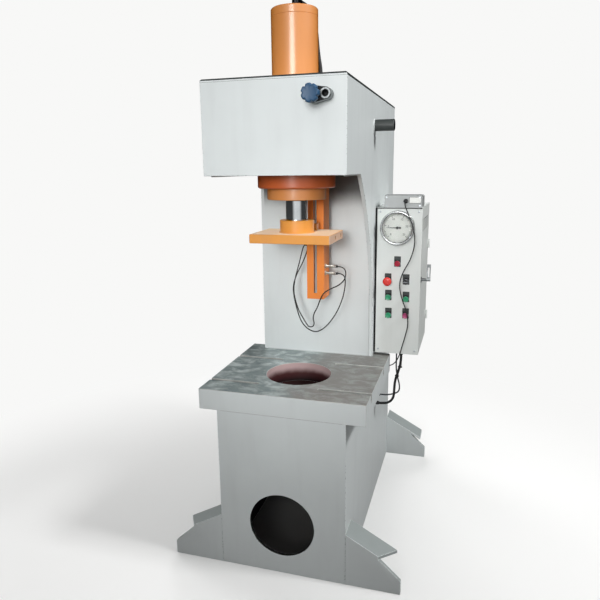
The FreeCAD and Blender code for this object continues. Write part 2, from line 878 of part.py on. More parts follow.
def door_latch():
    """Quarter-turn latch: shaft through the door, pierced lever outside and cam inside, both upright."""
    cam_x = cabinet_right - cabinet_sheet - latch_cam_gap
    start = latch_axis(cam_x - latch_cam_thickness)
    shaft_length = cabinet_right + latch_shaft_reach - start.x
    shaft = round_bar(latch_shaft_radius, shaft_length, start, right)
    lever_x = (cabinet_right + latch_shaft_reach - latch_lever_width, cabinet_right + latch_shaft_reach)
    lever_y = (start.y - latch_lever_depth / 2, start.y + latch_lever_depth / 2)
    lever_low = start.z - latch_lever_depth / 2
    lever = box(lever_x, lever_y, (lever_low, lever_low + latch_lever_length))
    window_x = sum(lever_x) / 2
    window_low = start.z + latch_shaft_radius + latch_lever_depth / 2
    window_half = latch_window[0] / 2
    window = box((window_x - window_half, window_x + window_half), lever_y, (window_low, window_low + latch_window[1]))
    cam_y = (start.y - latch_cam_width / 2, start.y + latch_cam_width / 2)
    cam_z = (start.z - latch_cam_width / 2, start.z + latch_cam_length)
    cam = box((start.x, start.x + latch_cam_thickness), cam_y, cam_z)
    return shaft.fuse(lever.cut(window)).fuse(cam)


def terminal_box():
    x_start = cabinet_left + terminal_left
    housing = box(
        (x_start, x_start + terminal_width),
        (panel_face, panel_face + terminal_depth),
        (cabinet_top, cabinet_top + terminal_height),
    )
    corners = []
    for edge in housing.Edges:
        along_y = abs(edge.Vertexes[0].Point.y - edge.Vertexes[1].Point.y) > 1
        if along_y and edge.CenterOfMass.z > cabinet_top + 1:
            corners.append(edge)
    return housing.makeFillet(terminal_corner, corners)


# ---- gauge ----
def gauge_axis(y):
    return vec(cabinet_left + gauge_place[0], y, cabinet_top - gauge_place[1])


gauge_face = panel_face - gauge_depth
dial_face = gauge_face + gauge_dial_depth


def gauge_case():
    case = round_bar(gauge_radius, gauge_depth, gauge_axis(gauge_face), back)
    rims = [edge for edge in case.Edges if edge.Closed and edge.CenterOfMass.y < gauge_face + 1]
    case = case.makeFillet(edge_chamfer, rims)
    mouth_depth = gauge_dial_depth + gauge_dial_thickness - gauge_lip
    mouth = round_bar(gauge_inner_radius, mouth_depth, gauge_axis(gauge_face + gauge_lip), back)
    lip = round_bar(gauge_lip_radius, gauge_lip, gauge_axis(gauge_face), back)
    shaft_hole = round_bar(pointer_shaft_radius + running_clearance, gauge_depth, gauge_axis(gauge_face), back)
    return case.cut(mouth).cut(lip).cut(shaft_hole)


def gauge_dial():
    radius = gauge_inner_radius - gauge_fit
    disc = round_bar(radius, gauge_dial_thickness, gauge_axis(dial_face), back)
    hole = round_bar(pointer_shaft_radius + gauge_fit, gauge_dial_thickness, gauge_axis(dial_face), back)
    return disc.cut(hole)


def gauge_glass():
    radius = gauge_inner_radius - gauge_fit
    return round_bar(radius, gauge_glass_thickness, gauge_axis(gauge_face + gauge_lip), back)


def gauge_pointer():
    face = dial_face - pointer_lift - pointer_thickness
    centre = gauge_axis(face)
    points = [
        (centre.x + pointer_tail, centre.z - pointer_width / 2),
        (centre.x - pointer_length, centre.z - pointer_thickness / 2),
        (centre.x - pointer_length, centre.z + pointer_thickness / 2),
        (centre.x + pointer_tail, centre.z + pointer_width / 2),
    ]
    hand = prism_xz(points, face, pointer_thickness)
    hub = round_bar(pointer_hub_radius, pointer_thickness * 2, gauge_axis(face - pointer_thickness), back)
    shaft_length = pointer_lift + gauge_dial_thickness + pointer_thickness + pointer_lift
    shaft = round_bar(pointer_shaft_radius, shaft_length, gauge_axis(face), back)
    return hand.fuse(hub).fuse(shaft)


# ---- controls ----
def control_places():
    return [
        lamp_place,
        stop_place,
        selector_place,
        start_left_place,
        start_right_place,
        jog_left_place,
        jog_right_place,
    ]


def control_axis(place, y):
    return vec(cabinet_left + place[0], y, cabinet_top - place[1])


legend_face = panel_face - legend_thickness
bezel_face = legend_face - bezel_height
seat_face = legend_face - bezel_floor
head_back = seat_face - button_travel - button_stop_gap
head_face = head_back - button_head_height


def legend_plates():
    plates = []
    half = legend_width / 2
    for place in control_places():
        centre = control_axis(place, legend_face)
        plate_x = (centre.x - half, centre.x + half)
        plate_z = (centre.z - legend_below, centre.z + legend_above)
        plate = box(plate_x, (legend_face, panel_face), plate_z)
        hole = round_bar(sleeve_radius + weld_gap, legend_thickness, control_axis(place, legend_face), back)
        plates.append(plate.cut(hole))
    return group(plates)


def button_bezels():
    bezels = []
    bore = button_stem_radius + button_stem_clearance
    for place in control_places():
        rim = ring(bezel_radius, bezel_bore, bezel_height - bezel_floor, control_axis(place, bezel_face), back)
        seat = ring(bezel_radius, bore, bezel_floor, control_axis(place, seat_face), back)
        sleeve_size = legend_thickness + sleeve_length
        sleeve = ring(sleeve_radius, bore, sleeve_size, control_axis(place, legend_face), back)
        block_front = panel_face + sleeve_length
        centre = control_axis(place, block_front)
        block_x = (centre.x - contact_width / 2, centre.x + contact_width / 2)
        block_z = (centre.z - contact_height / 2, centre.z + contact_height / 2)
        block = box(block_x, (block_front, block_front + contact_depth), block_z)
        bezels.append(rim.fuse(seat).fuse(sleeve).fuse(block))
    return group(bezels)


def button_stem(place):
    length = panel_face + sleeve_length - button_travel - button_stop_gap - head_back
    return round_bar(button_stem_radius, length, control_axis(place, head_back), back)


def button_cap(place):
    head = round_bar(button_head_radius, button_head_height, control_axis(place, head_face), back)
    rim = [edge for edge in head.Edges if edge.Closed and edge.CenterOfMass.y < head_face + 1]
    return head.makeFillet(edge_chamfer, rim).fuse(button_stem(place))


def estop_button():
    neck_face = head_back - mushroom_neck
    top_face = neck_face - mushroom_height
    head = round_bar(mushroom_radius, mushroom_height, control_axis(stop_place, top_face), back)
    rim = [edge for edge in head.Edges if edge.Closed and edge.CenterOfMass.y < top_face + 1]
    head = head.makeFillet(mushroom_height / 2, rim)
    neck = round_bar(button_head_radius, mushroom_neck, control_axis(stop_place, neck_face), back)
    return head.fuse(neck).fuse(button_stem(stop_place))


def selector_knob():
    place = selector_place
    knob = round_bar(button_head_radius, button_head_height, control_axis(place, head_face), back)
    half = selector_bar_width / 2
    centre = control_axis(place, head_face)
    reach = button_head_radius - edge_chamfer / 2
    bar_y = (head_face - selector_bar_height, head_face)
    bar = box((centre.x - reach, centre.x + reach), bar_y, (centre.z - half, centre.z + half))
    return knob.fuse(bar).fuse(button_stem(place))


def power_lamp():
    place = lamp_place
    radius = bezel_bore - button_stem_clearance
    base = seat_face - lamp_height
    dome = round_bar(radius, lamp_height, control_axis(place, base), back)
    rim = [edge for edge in dome.Edges if edge.Closed and edge.CenterOfMass.y < base + 1]
    return dome.makeFillet(lamp_height / 3, rim)


# ---- cables and hose ----
def cord(points, radius, label):
    """Tube along straight runs joined by tangent arcs; prints the tightest arc and the volume ratio."""
    corners = [vec(*point) for point in points]
    edges = []
    length = 0.0
    tightest = 1e9
    here = corners[0]
    for index in range(1, len(corners) - 1):
        before = corners[index] - corners[index - 1]
        after = corners[index + 1] - corners[index]
        turn = before.getAngle(after)
        shorter = min(before.Length, after.Length)
        setback = 0.45 * shorter
        bend = setback / math.tan(turn / 2)
        tightest = min(tightest, bend)
        before.normalize()
        after.normalize()
        arc_start = corners[index] - before * setback
        arc_end = corners[index] + after * setback
        inward = (after - before).normalize()
        middle = corners[index] + inward * (bend / math.cos(turn / 2) - bend)
        edges.append(Part.LineSegment(here, arc_start).toShape())
        edges.append(Part.Arc(arc_start, middle, arc_end).toShape())
        length += (arc_start - here).Length + bend * turn
        here = arc_end
    edges.append(Part.LineSegment(here, corners[-1]).toShape())
    length += (corners[-1] - here).Length
    path = Part.Wire(edges)
    first = (corners[1] - corners[0]).normalize()
    profile = Part.Wire(Part.makeCircle(radius, corners[0], first))
    tube = path.makePipeShell([profile], True, False)
    ratio = tube.Volume / (math.pi * radius ** 2 * length)
    print(label, "length", round(length, 1), "tightest", round(tightest, 1), "volume ratio", round(ratio, 4))
    return tube


gland_reach = gland_base_length + gland_nut_length
sensor_gland_level = 525.0
upper_gland = (-45.0, throat_face - gland_reach, sensor_gland_level)
lower_gland = (-22.0, throat_face - gland_reach, sensor_gland_level)
terminal_gland = (cabinet_left + terminal_gland_place[0], panel_face - gland_reach, cabinet_top + terminal_gland_place[1])
trunk_gland = (393.0, 400.0, cabinet_bottom - gland_reach)
loop_gland = (368.0, 426.0, cabinet_bottom - gland_reach)
plate_gland_x = frame_half + gland_reach
signal_entry = (plate_gland_x, 392.0, -72.0)
trunk_entry = (plate_gland_x, 402.0, -270.0)
loop_entry = (plate_gland_x, 430.0, -236.0)


def gland(mouth, direction):
    """Nylon cable gland: hexagon on the sheet and a round dome nut, ending at its mouth."""
    base = mouth - direction * gland_reach
    nut_base = mouth - direction * gland_nut_length
    foot_part = hexagon_bar(gland_base_radius, gland_base_length, base, direction)
    return foot_part.fuse(round_bar(gland_nut_radius, gland_nut_length, nut_base, direction))


def cable_glands():
    solids = [
        gland(vec(*upper_gland), front),
        gland(vec(*lower_gland), front),
        gland(vec(*terminal_gland), front),
        gland(vec(*trunk_gland), up * -1),
        gland(vec(*loop_gland), up * -1),
        gland(vec(*signal_entry), right),
        gland(vec(*trunk_entry), right),
        gland(vec(*loop_entry), right),
    ]
    return group(solids)


sensor_cable_upper_route = [
    (sensor_end(), sensor_back, sensor_level(0)),
    (154.0, sensor_back, sensor_level(0)),
    (171.0, 166.0, 426.0),
    (168.0, 158.0, 392.0),
    (143.0, 147.0, 366.0),
    (109.0, 135.0, 352.0),
    (78.0, 127.0, 333.0),
    (62.0, 126.0, 300.0),
    (50.0, 131.0, 266.0),
    (33.0, 138.0, 239.0),
    (25.0, 143.0, 210.0),
    (31.0, 149.0, 184.0),
    (20.0, 153.0, 168.0),
    (1.0, 156.0, 167.0),
    (-13.0, 160.0, 184.0),
    (-31.0, 165.0, 211.0),
    (-50.0, 170.0, 240.0),
    (-66.0, 175.0, 284.0),
    (-76.0, 181.0, 332.0),
    (-70.0, 192.0, 384.0),
    (-58.0, 206.0, 436.0),
    (-49.0, 222.0, 486.0),
    (-45.0, 248.0, sensor_gland_level),
    upper_gland,
]
sensor_cable_lower_route = [
    (sensor_end(), sensor_back, sensor_level(1)),
    (152.0, sensor_back, sensor_level(1)),
    (167.0, 167.0, 397.0),
    (167.0, 166.0, 364.0),
    (162.0, 165.0, 331.0),
    (153.0, 165.0, 296.0),
    (135.0, 162.0, 250.0),
    (108.0, 160.0, 204.0),
    (74.0, 157.0, 164.0),
    (34.0, 156.0, 142.0),
    (-8.0, 162.0, 156.0),
    (-40.0, 169.0, 190.0),
    (-58.0, 176.0, 238.0),
    (-74.0, 184.0, 290.0),
    (-82.0, 193.0, 342.0),
    (-68.0, 205.0, 396.0),
    (-44.0, 214.0, 442.0),
    (-27.0, 226.0, 488.0),
    (-22.0, 250.0, sensor_gland_level),
    lower_gland,
]
signal_cable_route = [
    terminal_gland,
    (terminal_gland[0], 297.0, terminal_gland[2]),
    (404.0, 283.0, 704.0),
    (414.0, 281.0, 680.0),
    (428.0, 281.0, 648.0),
    (442.0, 280.0, 610.0),
    (452.0, 280.0, 564.0),
    (448.0, 281.0, 514.0),
    (432.0, 283.0, 462.0),
    (402.0, 285.0, 410.0),
    (386.0, 286.0, 352.0),
    (401.0, 286.0, 288.0),
    (424.0, 287.0, 232.0),
    (433.0, 289.0, 172.0),
    (421.0, 294.0, 116.0),
    (407.0, 304.0, 64.0),
    (395.0, 322.0, 18.0),
    (380.0, 348.0, -24.0),
    (358.0, 374.0, -56.0),
    (326.0, 392.0, -72.0),
    signal_entry,
]
cable_trunk_route = [
    trunk_gland,
    (393.0, 400.0, -50.0),
    (381.0, 402.0, -98.0),
    (366.0, 404.0, -146.0),
    (363.0, 405.0, -205.0),
    (361.0, 405.0, -236.0),
    (345.0, 404.0, -259.0),
    (320.0, 402.0, trunk_entry[2]),
    trunk_entry,
]
loop_cable_route = [
    loop_gland,
    (368.0, 426.0, -48.0),
    (368.0, 422.0, -90.0),
    (376.0, 419.0, -134.0),
    (388.0, 417.0, -172.0),
    (386.0, 417.0, -208.0),
    (356.0, 420.0, -224.0),
    (322.0, 430.0, -236.0),
    loop_entry,
]
hose_start = (10.0, 37.0, cylinder_top + hose_rise)
hose_end = (57.0, 170.0, head_top + hose_stub)
pressure_hose_route = [
    hose_start,
    (21.0, 78.0, cylinder_top + hose_rise),
    (30.5, 115.0, cylinder_top + 16.0),
    (38.0, 144.0, cylinder_top - 14.0),
    (42.0, 159.0, cylinder_top - 53.0),
    (44.0, 166.0, cylinder_top - 101.0),
    (49.0, 168.0, cylinder_top - 149.0),
    (57.0, 170.0, head_top + hose_stub + 42.0),
    hose_end,
]


def cable_ties():
    """Bands round the trunk where its route passes the given heights."""
    bands = []
    for z in tie_heights:
        for start, end in zip(cable_trunk_route, cable_trunk_route[1:]):
            if start[2] >= z > end[2]:
                share = (start[2] - z) / (start[2] - end[2])
                run = vec(*end) - vec(*start)
                centre = vec(*start) + run * share
                run.normalize()
                inner = trunk_radius + tie_clearance
                base = centre - run * (tie_width / 2)
                bands.append(ring(inner + tie_band, inner, tie_width, base, run))
    return group(bands)


def hose_fittings():
    """Elbow on the end cap and straight adaptor on the head, each with its hexagon."""
    ferrule = hose_radius + ferrule_wall
    nut_radius = ferrule + fitting_nut_step
    first = vec(*hose_start)
    aim = (vec(*pressure_hose_route[1]) - first).normalize()
    corner = first - aim * elbow_arm
    riser_base = vec(corner.x, corner.y, cylinder_top)
    riser = round_bar(ferrule, first.z - cylinder_top, riser_base, up)
    nut = hexagon_bar(nut_radius, fitting_nut_height, riser_base, up)
    elbow = riser.fuse(nut).fuse(Part.makeSphere(ferrule, corner)).fuse(round_bar(ferrule, elbow_arm, corner, aim))
    last = vec(*hose_end)
    seat = vec(last.x, last.y, head_top)
    straight = round_bar(ferrule, last.z - head_top, seat, up)
    straight = straight.fuse(hexagon_bar(nut_radius, fitting_nut_height, seat, up))
    return group([elbow, straight])


# ---- power unit ----
tank_front = throat_face + front_thickness
tank_top = floor + tank_height
motor_axis_y = tank_front + motor_back
bell_top = tank_top + bell_flange_thickness + bell_height


def power_axis(z):
    return vec(0, motor_axis_y, z)


def oil_tank():
    outer = box((-tank_half_width, tank_half_width), (tank_front, tank_front + tank_depth), (floor, tank_top))
    wall = tank_wall
    inner = box(
        (-tank_half_width + wall, tank_half_width - wall),
        (tank_front + wall, tank_front + tank_depth - wall),
        (floor + wall, tank_top - wall),
    )
    return outer.cut(inner).cut(round_bar(tank_hole_radius, wall, power_axis(tank_top - wall), up))


def pump_unit():
    flange = round_bar(bell_flange_radius, bell_flange_thickness, power_axis(tank_top), up)
    bell_base = power_axis(tank_top + bell_flange_thickness)
    bell = ring(bell_radius, bell_radius - bell_wall, bell_height, bell_base, up)
    window = box(
        (-bell_window / 2, bell_window / 2),
        (motor_axis_y - bell_radius, motor_axis_y + bell_radius),
        (bell_base.z + bell_flange_thickness, bell_top - bell_flange_thickness),
    )
    pump = round_bar(pump_radius, pump_length, power_axis(tank_top - pump_length), up)
    body = flange.fuse(bell.cut(window)).fuse(pump)
    socket_depth = bell_flange_thickness + shaft_engagement
    socket = round_bar(
        shaft_radius + running_clearance, socket_depth, power_axis(tank_top - shaft_engagement), up
    )
    return body.cut(socket)


def pump_motor():
    body = round_bar(motor_radius, motor_length, power_axis(bell_top), up)
    rims = [edge for edge in body.Edges if edge.Closed and edge.CenterOfMass.z > bell_top + 1]
    body = body.makeFillet(cap_chamfer, rims)
    socket = round_bar(shaft_radius + running_clearance, shaft_engagement, power_axis(bell_top), up)
    return body.cut(socket)


def motor_coupling():
    bell_floor = tank_top + bell_flange_thickness
    middle = (bell_floor + bell_top) / 2
    disc = round_bar(coupling_radius, coupling_length, power_axis(middle - coupling_length / 2), up)
    low = tank_top - shaft_engagement + 1
    high = bell_top + shaft_engagement - 1
    shaft = round_bar(shaft_radius, high - low, power_axis(low), up)
    return disc.fuse(shaft)


# ---- every piece under its own name ----
rear_web = rear_face - rear_foot_inset - foot_web_thickness
pieces = {
    "side_plate_left": side_plate(-frame_half, False),
    "side_plate_right": side_plate(inner_half, True),
    "head_front_plate": head_front_plate(),
    "head_top_plate": head_top_plate(),
    "head_bottom_plate": head_bottom_plate(),
    "throat_plate": throat_plate(),
    "base_front_plate": base_front_plate(),
    "rear_plate": rear_plate(),
    "rear_cover": rear_cover(),
    "front_feet": group([foot(side, front_face, foot_flange_reach) for side in (-1, 1)]),
    "rear_feet": group([foot(side, rear_web, foot_flange_far_reach) for side in (-1, 1)]),
    "lifting_bar": lifting_bar(),
    "table_slab": table_slab(),
    "chute_ring": chute_ring(),
    "cylinder_barrel": cylinder_barrel(),
    "cylinder_end_cap": cylinder_end_cap(),
    "mounting_flange": mounting_flange(),
    "gland_flange": gland_flange(),
    "rod_bush": rod_bush(),
    "flange_bolts": flange_bolts(),
    "piston": piston(),
    "piston_rod": piston_rod(),
    "ram_hub": ram_hub(),
    "platen": platen(),
    "guide_shoe": guide_shoe(),
    "guide_rail": guide_rail(),
    "proximity_sensors": proximity_sensors(),
    "sensor_nuts": sensor_nuts(),
    "valve_body": valve_body(),
    "valve_handwheel": valve_handwheel(),
    "cabinet_box": cabinet_box(),
    "cabinet_door": cabinet_door(),
    "door_latch": door_latch(),
    "terminal_box": terminal_box(),
    "gauge_case": gauge_case(),
    "gauge_dial": gauge_dial(),
    "gauge_glass": gauge_glass(),
    "gauge_pointer": gauge_pointer(),
    "legend_plates": legend_plates(),
    "button_bezels": button_bezels(),
    "power_lamp": power_lamp(),
    "estop_button": estop_button(),
    "selector_knob": selector_knob(),
    "start_button_left": button_cap(start_left_place),
    "start_button_right": button_cap(start_right_place),
    "jog_button_left": button_cap(jog_left_place),
    "jog_button_right": button_cap(jog_right_place),
    "cable_glands": cable_glands(),
    "sensor_cable_upper": cord(sensor_cable_upper_route, cable_radius, "sensor_cable_upper"),
    "sensor_cable_lower": cord(sensor_cable_lower_route, cable_radius, "sensor_cable_lower"),
    "signal_cable": cord(signal_cable_route, cable_radius, "signal_cable"),
    "cable_trunk": cord(cable_trunk_route, trunk_radius, "cable_trunk"),
    "loop_cable": cord(loop_cable_route, loop_radius, "loop_cable"),
    "cable_ties": cable_ties(),
    "pressure_hose": cord(pressure_hose_route, hose_radius, "pressure_hose"),
    "hose_fittings": hose_fittings(),
    "oil_tank": oil_tank(),
    "pump_unit": pump_unit(),
    "pump_motor": pump_motor(),
    "motor_coupling": motor_coupling(),
}

for name, shape in pieces.items():
    save(name, shape)
print(len(pieces), "nodes", sum(len(shape.Solids) for shape in pieces.values()), "solids")
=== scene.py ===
import math
from functools import cache

import bmesh
import bpy
from bpy.props import FloatProperty, FloatVectorProperty, IntProperty, PointerProperty
from bpy.types import Operator, Panel, PropertyGroup
from mathutils import Matrix, Vector


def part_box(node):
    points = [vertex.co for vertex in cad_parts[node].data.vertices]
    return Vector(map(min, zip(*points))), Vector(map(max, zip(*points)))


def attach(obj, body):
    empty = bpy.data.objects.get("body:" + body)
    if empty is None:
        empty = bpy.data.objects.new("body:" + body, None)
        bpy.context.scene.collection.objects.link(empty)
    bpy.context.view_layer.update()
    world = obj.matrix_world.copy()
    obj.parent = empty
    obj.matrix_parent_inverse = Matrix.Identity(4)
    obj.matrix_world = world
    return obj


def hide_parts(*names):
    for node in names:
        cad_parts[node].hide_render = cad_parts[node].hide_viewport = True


bl_info = {
    "name": "Hydraulic press dressing",
    "version": (1, 0, 0),
    "blender": (4, 5, 0),
    "location": "3D View > Sidebar > Press",
    "description": "Dresses the solids of a single-ram C-frame hydraulic press for rendering",
    "category": "Object",
}

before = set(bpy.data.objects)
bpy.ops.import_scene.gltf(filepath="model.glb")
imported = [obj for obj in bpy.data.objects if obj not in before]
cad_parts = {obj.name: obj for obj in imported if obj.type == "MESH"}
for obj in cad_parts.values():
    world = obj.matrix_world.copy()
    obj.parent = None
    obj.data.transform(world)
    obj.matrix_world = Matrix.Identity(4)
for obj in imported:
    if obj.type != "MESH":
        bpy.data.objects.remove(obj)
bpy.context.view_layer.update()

# for each axis: the directions across it, beside it and along it
AXES = {
    "up": (Vector((1, 0, 0)), Vector((0, 1, 0)), Vector((0, 0, 1))),
    "down": (Vector((1, 0, 0)), Vector((0, 1, 0)), Vector((0, 0, -1))),
    "front": (Vector((1, 0, 0)), Vector((0, 0, 1)), Vector((0, -1, 0))),
    "right": (Vector((0, 1, 0)), Vector((0, 0, 1)), Vector((1, 0, 0))),
}

# places in metres: x to the right and y to the rear of the ram's axis, z up from the table's top
RAM_AXIS = (0.0, 0.0, 0.0)
FLOOR = -0.785
SLAB_UNDERSIDE = -0.086
HEAD_FLOOR = 0.842
CHEEK_OUTSIDE, CHEEK_INSIDE = 0.2675, 0.2515
FRAME_FRONT, THROAT_WALL, COVER_FACE = -0.276, 0.31, 0.917
CABINET_FRONT = 0.341


def linear(code):
    """An sRGB hex colour as linear red, green, blue and alpha."""
    values = []
    for start in (1, 3, 5):
        part = int(code[start : start + 2], 16) / 255
        values.append(part / 12.92 if part <= 0.04045 else ((part + 0.055) / 1.055) ** 2.4)
    return (*values, 1.0)


# ---- sizes and colours ----
def length(name, description, default):
    """A length in metres."""
    return FloatProperty(name=name, description=description, default=default, unit="LENGTH")


def tally(name, description, default, fewest, most):
    """A whole number between two limits."""
    return IntProperty(name=name, description=description, default=default, min=fewest, max=most)


def paint(name, description, code):
    """A colour, from its sRGB hex code."""
    colour = linear(code)
    return FloatVectorProperty(name=name, description=description, subtype="COLOR", size=4, default=colour)


class PressSizes(PropertyGroup):
    """Sizes of the dressing that the solids leave open."""

    plate_edge: length("Plate edge", "Rounding of flame-cut and ground plate edges", 0.0014)
    sheet_edge: length("Sheet edge", "Outside bend radius of folded sheet", 0.0022)
    turned_edge: length("Turned edge", "Broken edge on turned parts", 0.0008)
    weld_leg: length("Weld leg", "Leg length of the fillet welds", 0.0045)
    weld_ripple: length("Weld ripple", "Spacing of the ripples along a weld", 0.008)
    thread_pitch: length("Thread pitch", "Pitch drawn on the sensor barrels", 0.0015)
    gauge_ticks: tally("Gauge divisions", "Small divisions round the gauge's scale", 50, 10, 100)
    wheel_lobes: tally("Wheel lobes", "Lobes round the handwheel", 7, 3, 12)
    motor_fins: tally("Motor fins", "Cooling fins round the motor", 32, 8, 64)


class PressColours(PropertyGroup):
    """Colours of the press's paints and plastics."""

    frame_paint: paint("Frame paint", "Gloss enamel on the frame", "#dfe5e5")
    cabinet_paint: paint("Cabinet paint", "Powder coat on the cabinet", "#dfe3e0")
    orange_paint: paint("Cylinder paint", "Enamel on the cylinder", "#d68a47")
    yellow_orange_paint: paint("Platen paint", "Enamel on hub and platen", "#ea9f47")
    red_orange_paint: paint("Flange paint", "Enamel on the mounting flange", "#c9602c")
    primer_paint: paint("Primer", "Red oxide primer on the chute", "#3a1c1b")
    # painted shade: a darker grey-green for the feet's sloping flanges and the faces behind their webs
    shaded_foot_paint: paint("Foot paint", "Grey-green enamel on the feet", "#a3abaa")
    wheel_plastic: paint("Handwheel plastic", "Blue nylon of the handwheel", "#234d70")
    stop_red: paint("Stop button red", "Plastic of the stop button", "#dc352c")
    start_green: paint("Start button green", "Plastic of the green buttons", "#259568")
    jog_magenta: paint("Jog button magenta", "Plastic of the magenta button", "#a8396c")
    floor_tone: paint("Studio floor", "Tone of the plain floor", "#f8f8f7")


def sizes():
    """The sizes set in this scene."""
    return bpy.context.scene.press_sizes


def colours():
    """The colours set in this scene."""
    return bpy.context.scene.press_colours


# ---- finishes ----
def wire(tree, node, *values, **named):
    """Sets or links a node's open sockets, in order or by their names; lower-case names are its settings."""
    sockets = {}
    for name, value in named.items():
        if name.islower():
            setattr(node, name, value)
        else:
            sockets[name.replace("_", " ")] = value
    pairs = list(zip([socket for socket in node.inputs if socket.enabled], values))
    pairs += [(node.inputs[name], value) for name, value in sockets.items()]
    for socket, value in pairs:
        if isinstance(value, bpy.types.Node):
            value = next(output for output in value.outputs if output.enabled)
        if isinstance(value, bpy.types.NodeSocket):
            tree.links.new(value, socket)
        else:
            socket.default_value = value
    return node


def add(tree, kind, *values, **named):
    """Adds a node with its settings, and sets or links its inputs."""
    return wire(tree, tree.nodes.new("ShaderNode" + kind), *values, **named)


def start_finish(name, **constants):
    """A new material with constants on its shader, its node tree, and coordinates in metres."""
    material = bpy.data.materials.new(name)
    material.use_nodes = True
    tree = material.node_tree
    shader = wire(tree, tree.nodes["Principled BSDF"], **constants)
    return material, tree, shader, add(tree, "TexCoord").outputs["Object"]


@cache
def made_once(finish):
    """The material of that finish, made when it is first asked for."""
    return finish()


def shade_of(colour, factor, grey=0.0):
    """The colour times a factor, drawn towards grey."""
    middle = sum(colour[:3]) / 3
    return (*((c * (1 - grey) + middle * grey) * factor for c in colour[:3]), 1.0)


def sprayed(name, colour, roughness, coat=0.0, peel=2.5, floor_darkening=0.0, **constants):
    """Sprayed enamel: orange peel with its grain in mm, drifting tone, runs of dust, and a darkening low down
    that is grime and partly painted shade.
    """
    constants = {"Coat_Weight": coat, "Coat_Roughness": 0.14, "IOR": 1.5, **constants}
    material, tree, shader, place = start_finish(name, **constants)
    # plate buckle and spray overlap, about 180 mm across
    drift = add(tree, "TexNoise", Vector=place, Scale=5.6, Detail=3.0)
    # dust and wipe marks run down the plates: 60 mm wide, 500 mm long
    stretched = add(tree, "Mapping", Vector=place, Scale=(16.0, 16.0, 2.0))
    runs = add(tree, "TexNoise", Vector=stretched, Scale=1.0, Detail=4.0)
    # darker towards the floor, over about 600 mm: grime, and partly painted shade
    height = add(tree, "SeparateXYZ", place).outputs[2]
    low = add(tree, "MapRange", height, FLOOR, -0.15, floor_darkening, 0.0, interpolation_type="SMOOTHSTEP")
    streaks = add(tree, "MapRange", runs, 0.52, 0.85, 0.0, 0.22)
    # dust runs plus the darkening towards the floor, which is partly painted shade
    film = add(tree, "Math", streaks, low, operation="ADD")
    tone = add(tree, "Mix", drift, shade_of(colour, 0.93, 0.05), shade_of(colour, 1.05), data_type="RGBA")
    dusty = add(tree, "Mix", film, tone, shade_of(colour, 0.72, 0.35), data_type="RGBA")
    dull = add(tree, "MapRange", film, 0.0, 1.0, roughness, roughness + 0.25)
    skin = add(tree, "TexNoise", Vector=place, Scale=1000 / peel, Detail=1.0)
    rough = add(tree, "Bump", Strength=0.10, Distance=0.0004, Height=skin)
    wave = add(tree, "Bump", Strength=0.25, Distance=0.004, Height=drift, Normal=rough)
    wire(tree, shader, Base_Color=dusty, Roughness=dull, Normal=wave)
    return material


def frame_enamel():
    """Two-pack gloss enamel on flame-cut plate: cool grey-white, with painted shade high in the throat under
    the head.
    """
    material = sprayed("frame_enamel", colours().frame_paint, roughness=0.42, coat=0.12, floor_darkening=0.3)
    tree = material.node_tree
    shader = tree.nodes["Principled BSDF"]
    clean = shader.inputs["Base Color"].links[0].from_socket
    place = add(tree, "TexCoord").outputs["Object"]
    # painted shade under the head: the throat's top 150 mm between the cheeks is darkened, up to the head's
    # floor
    cloud = add(tree, "TexNoise", Vector=place, Scale=14.0, Detail=3.0)
    x, y, z = add(tree, "SeparateXYZ", place).outputs
    level = add(tree, "Math", cloud, 0.03, z, operation="MULTIPLY_ADD")
    high = add(tree, "MapRange", level, 0.7, 0.79, 0.0, 0.85, interpolation_type="SMOOTHSTEP")
    back = add(tree, "MapRange", y, -0.3, 0.0, interpolation_type="SMOOTHSTEP")
    film = add(tree, "Math", high, back, operation="MULTIPLY")
    sideways = add(tree, "Math", x, operation="ABSOLUTE")
    for reach, limit in ((sideways, 0.253), (y, 0.35), (z, 0.9)):
        inside = add(tree, "Math", reach, limit, operation="LESS_THAN")
        film = add(tree, "Math", film, inside, operation="MULTIPLY")
    shaded_throat = add(tree, "Mix", film, clean, linear("#3c3b39"), data_type="RGBA")
    wire(tree, shader, Base_Color=shaded_throat)
    return material


def cabinet_powder_coat():
    """Polyester powder coat on folded sheet: satin warm grey-white with a fine even peel."""
    return sprayed("cabinet_powder_coat", colours().cabinet_paint, roughness=0.42, peel=1.6, floor_darkening=0.1)


def cylinder_enamel():
    """Gloss enamel on the turned cylinder: copper orange under a clear wet-looking coat."""
    return sprayed(
        "cylinder_enamel", colours().orange_paint, roughness=0.5, coat=1.0, peel=3.0, Coat_Roughness=0.2
    )


def platen_enamel():
    """Yellow-orange gloss enamel, sprayed on the moving parts."""
    return sprayed("platen_enamel", colours().yellow_orange_paint, roughness=0.3, coat=0.35)


def rail_enamel():
    """Fresh saturated orange enamel on the guide rail, dulled by a dry film of spray."""
    return sprayed("rail_enamel", linear("#ee8a3c"), roughness=0.5, Specular_IOR_Level=0.25)


def flange_enamel():
    """Dark red-orange enamel over the mounting flange's turned steel."""
    return sprayed("flange_enamel", colours().red_orange_paint, roughness=0.36, coat=0.25)


def shaded_foot_enamel():
    """Grey-green enamel darker than the frame's, as painted shade on the feet's sloping flanges and the faces
    behind their webs; duller than the frame's.
    """
    return sprayed("shaded_foot_enamel", colours().shaded_foot_paint, roughness=0.45, coat=0.1, floor_darkening=0.3)


def red_oxide_primer():
    """Matt red oxide primer: chalky, with a slow drift of tone."""
    return sprayed("red_oxide_primer", colours().primer_paint, roughness=0.7, peel=1.2)


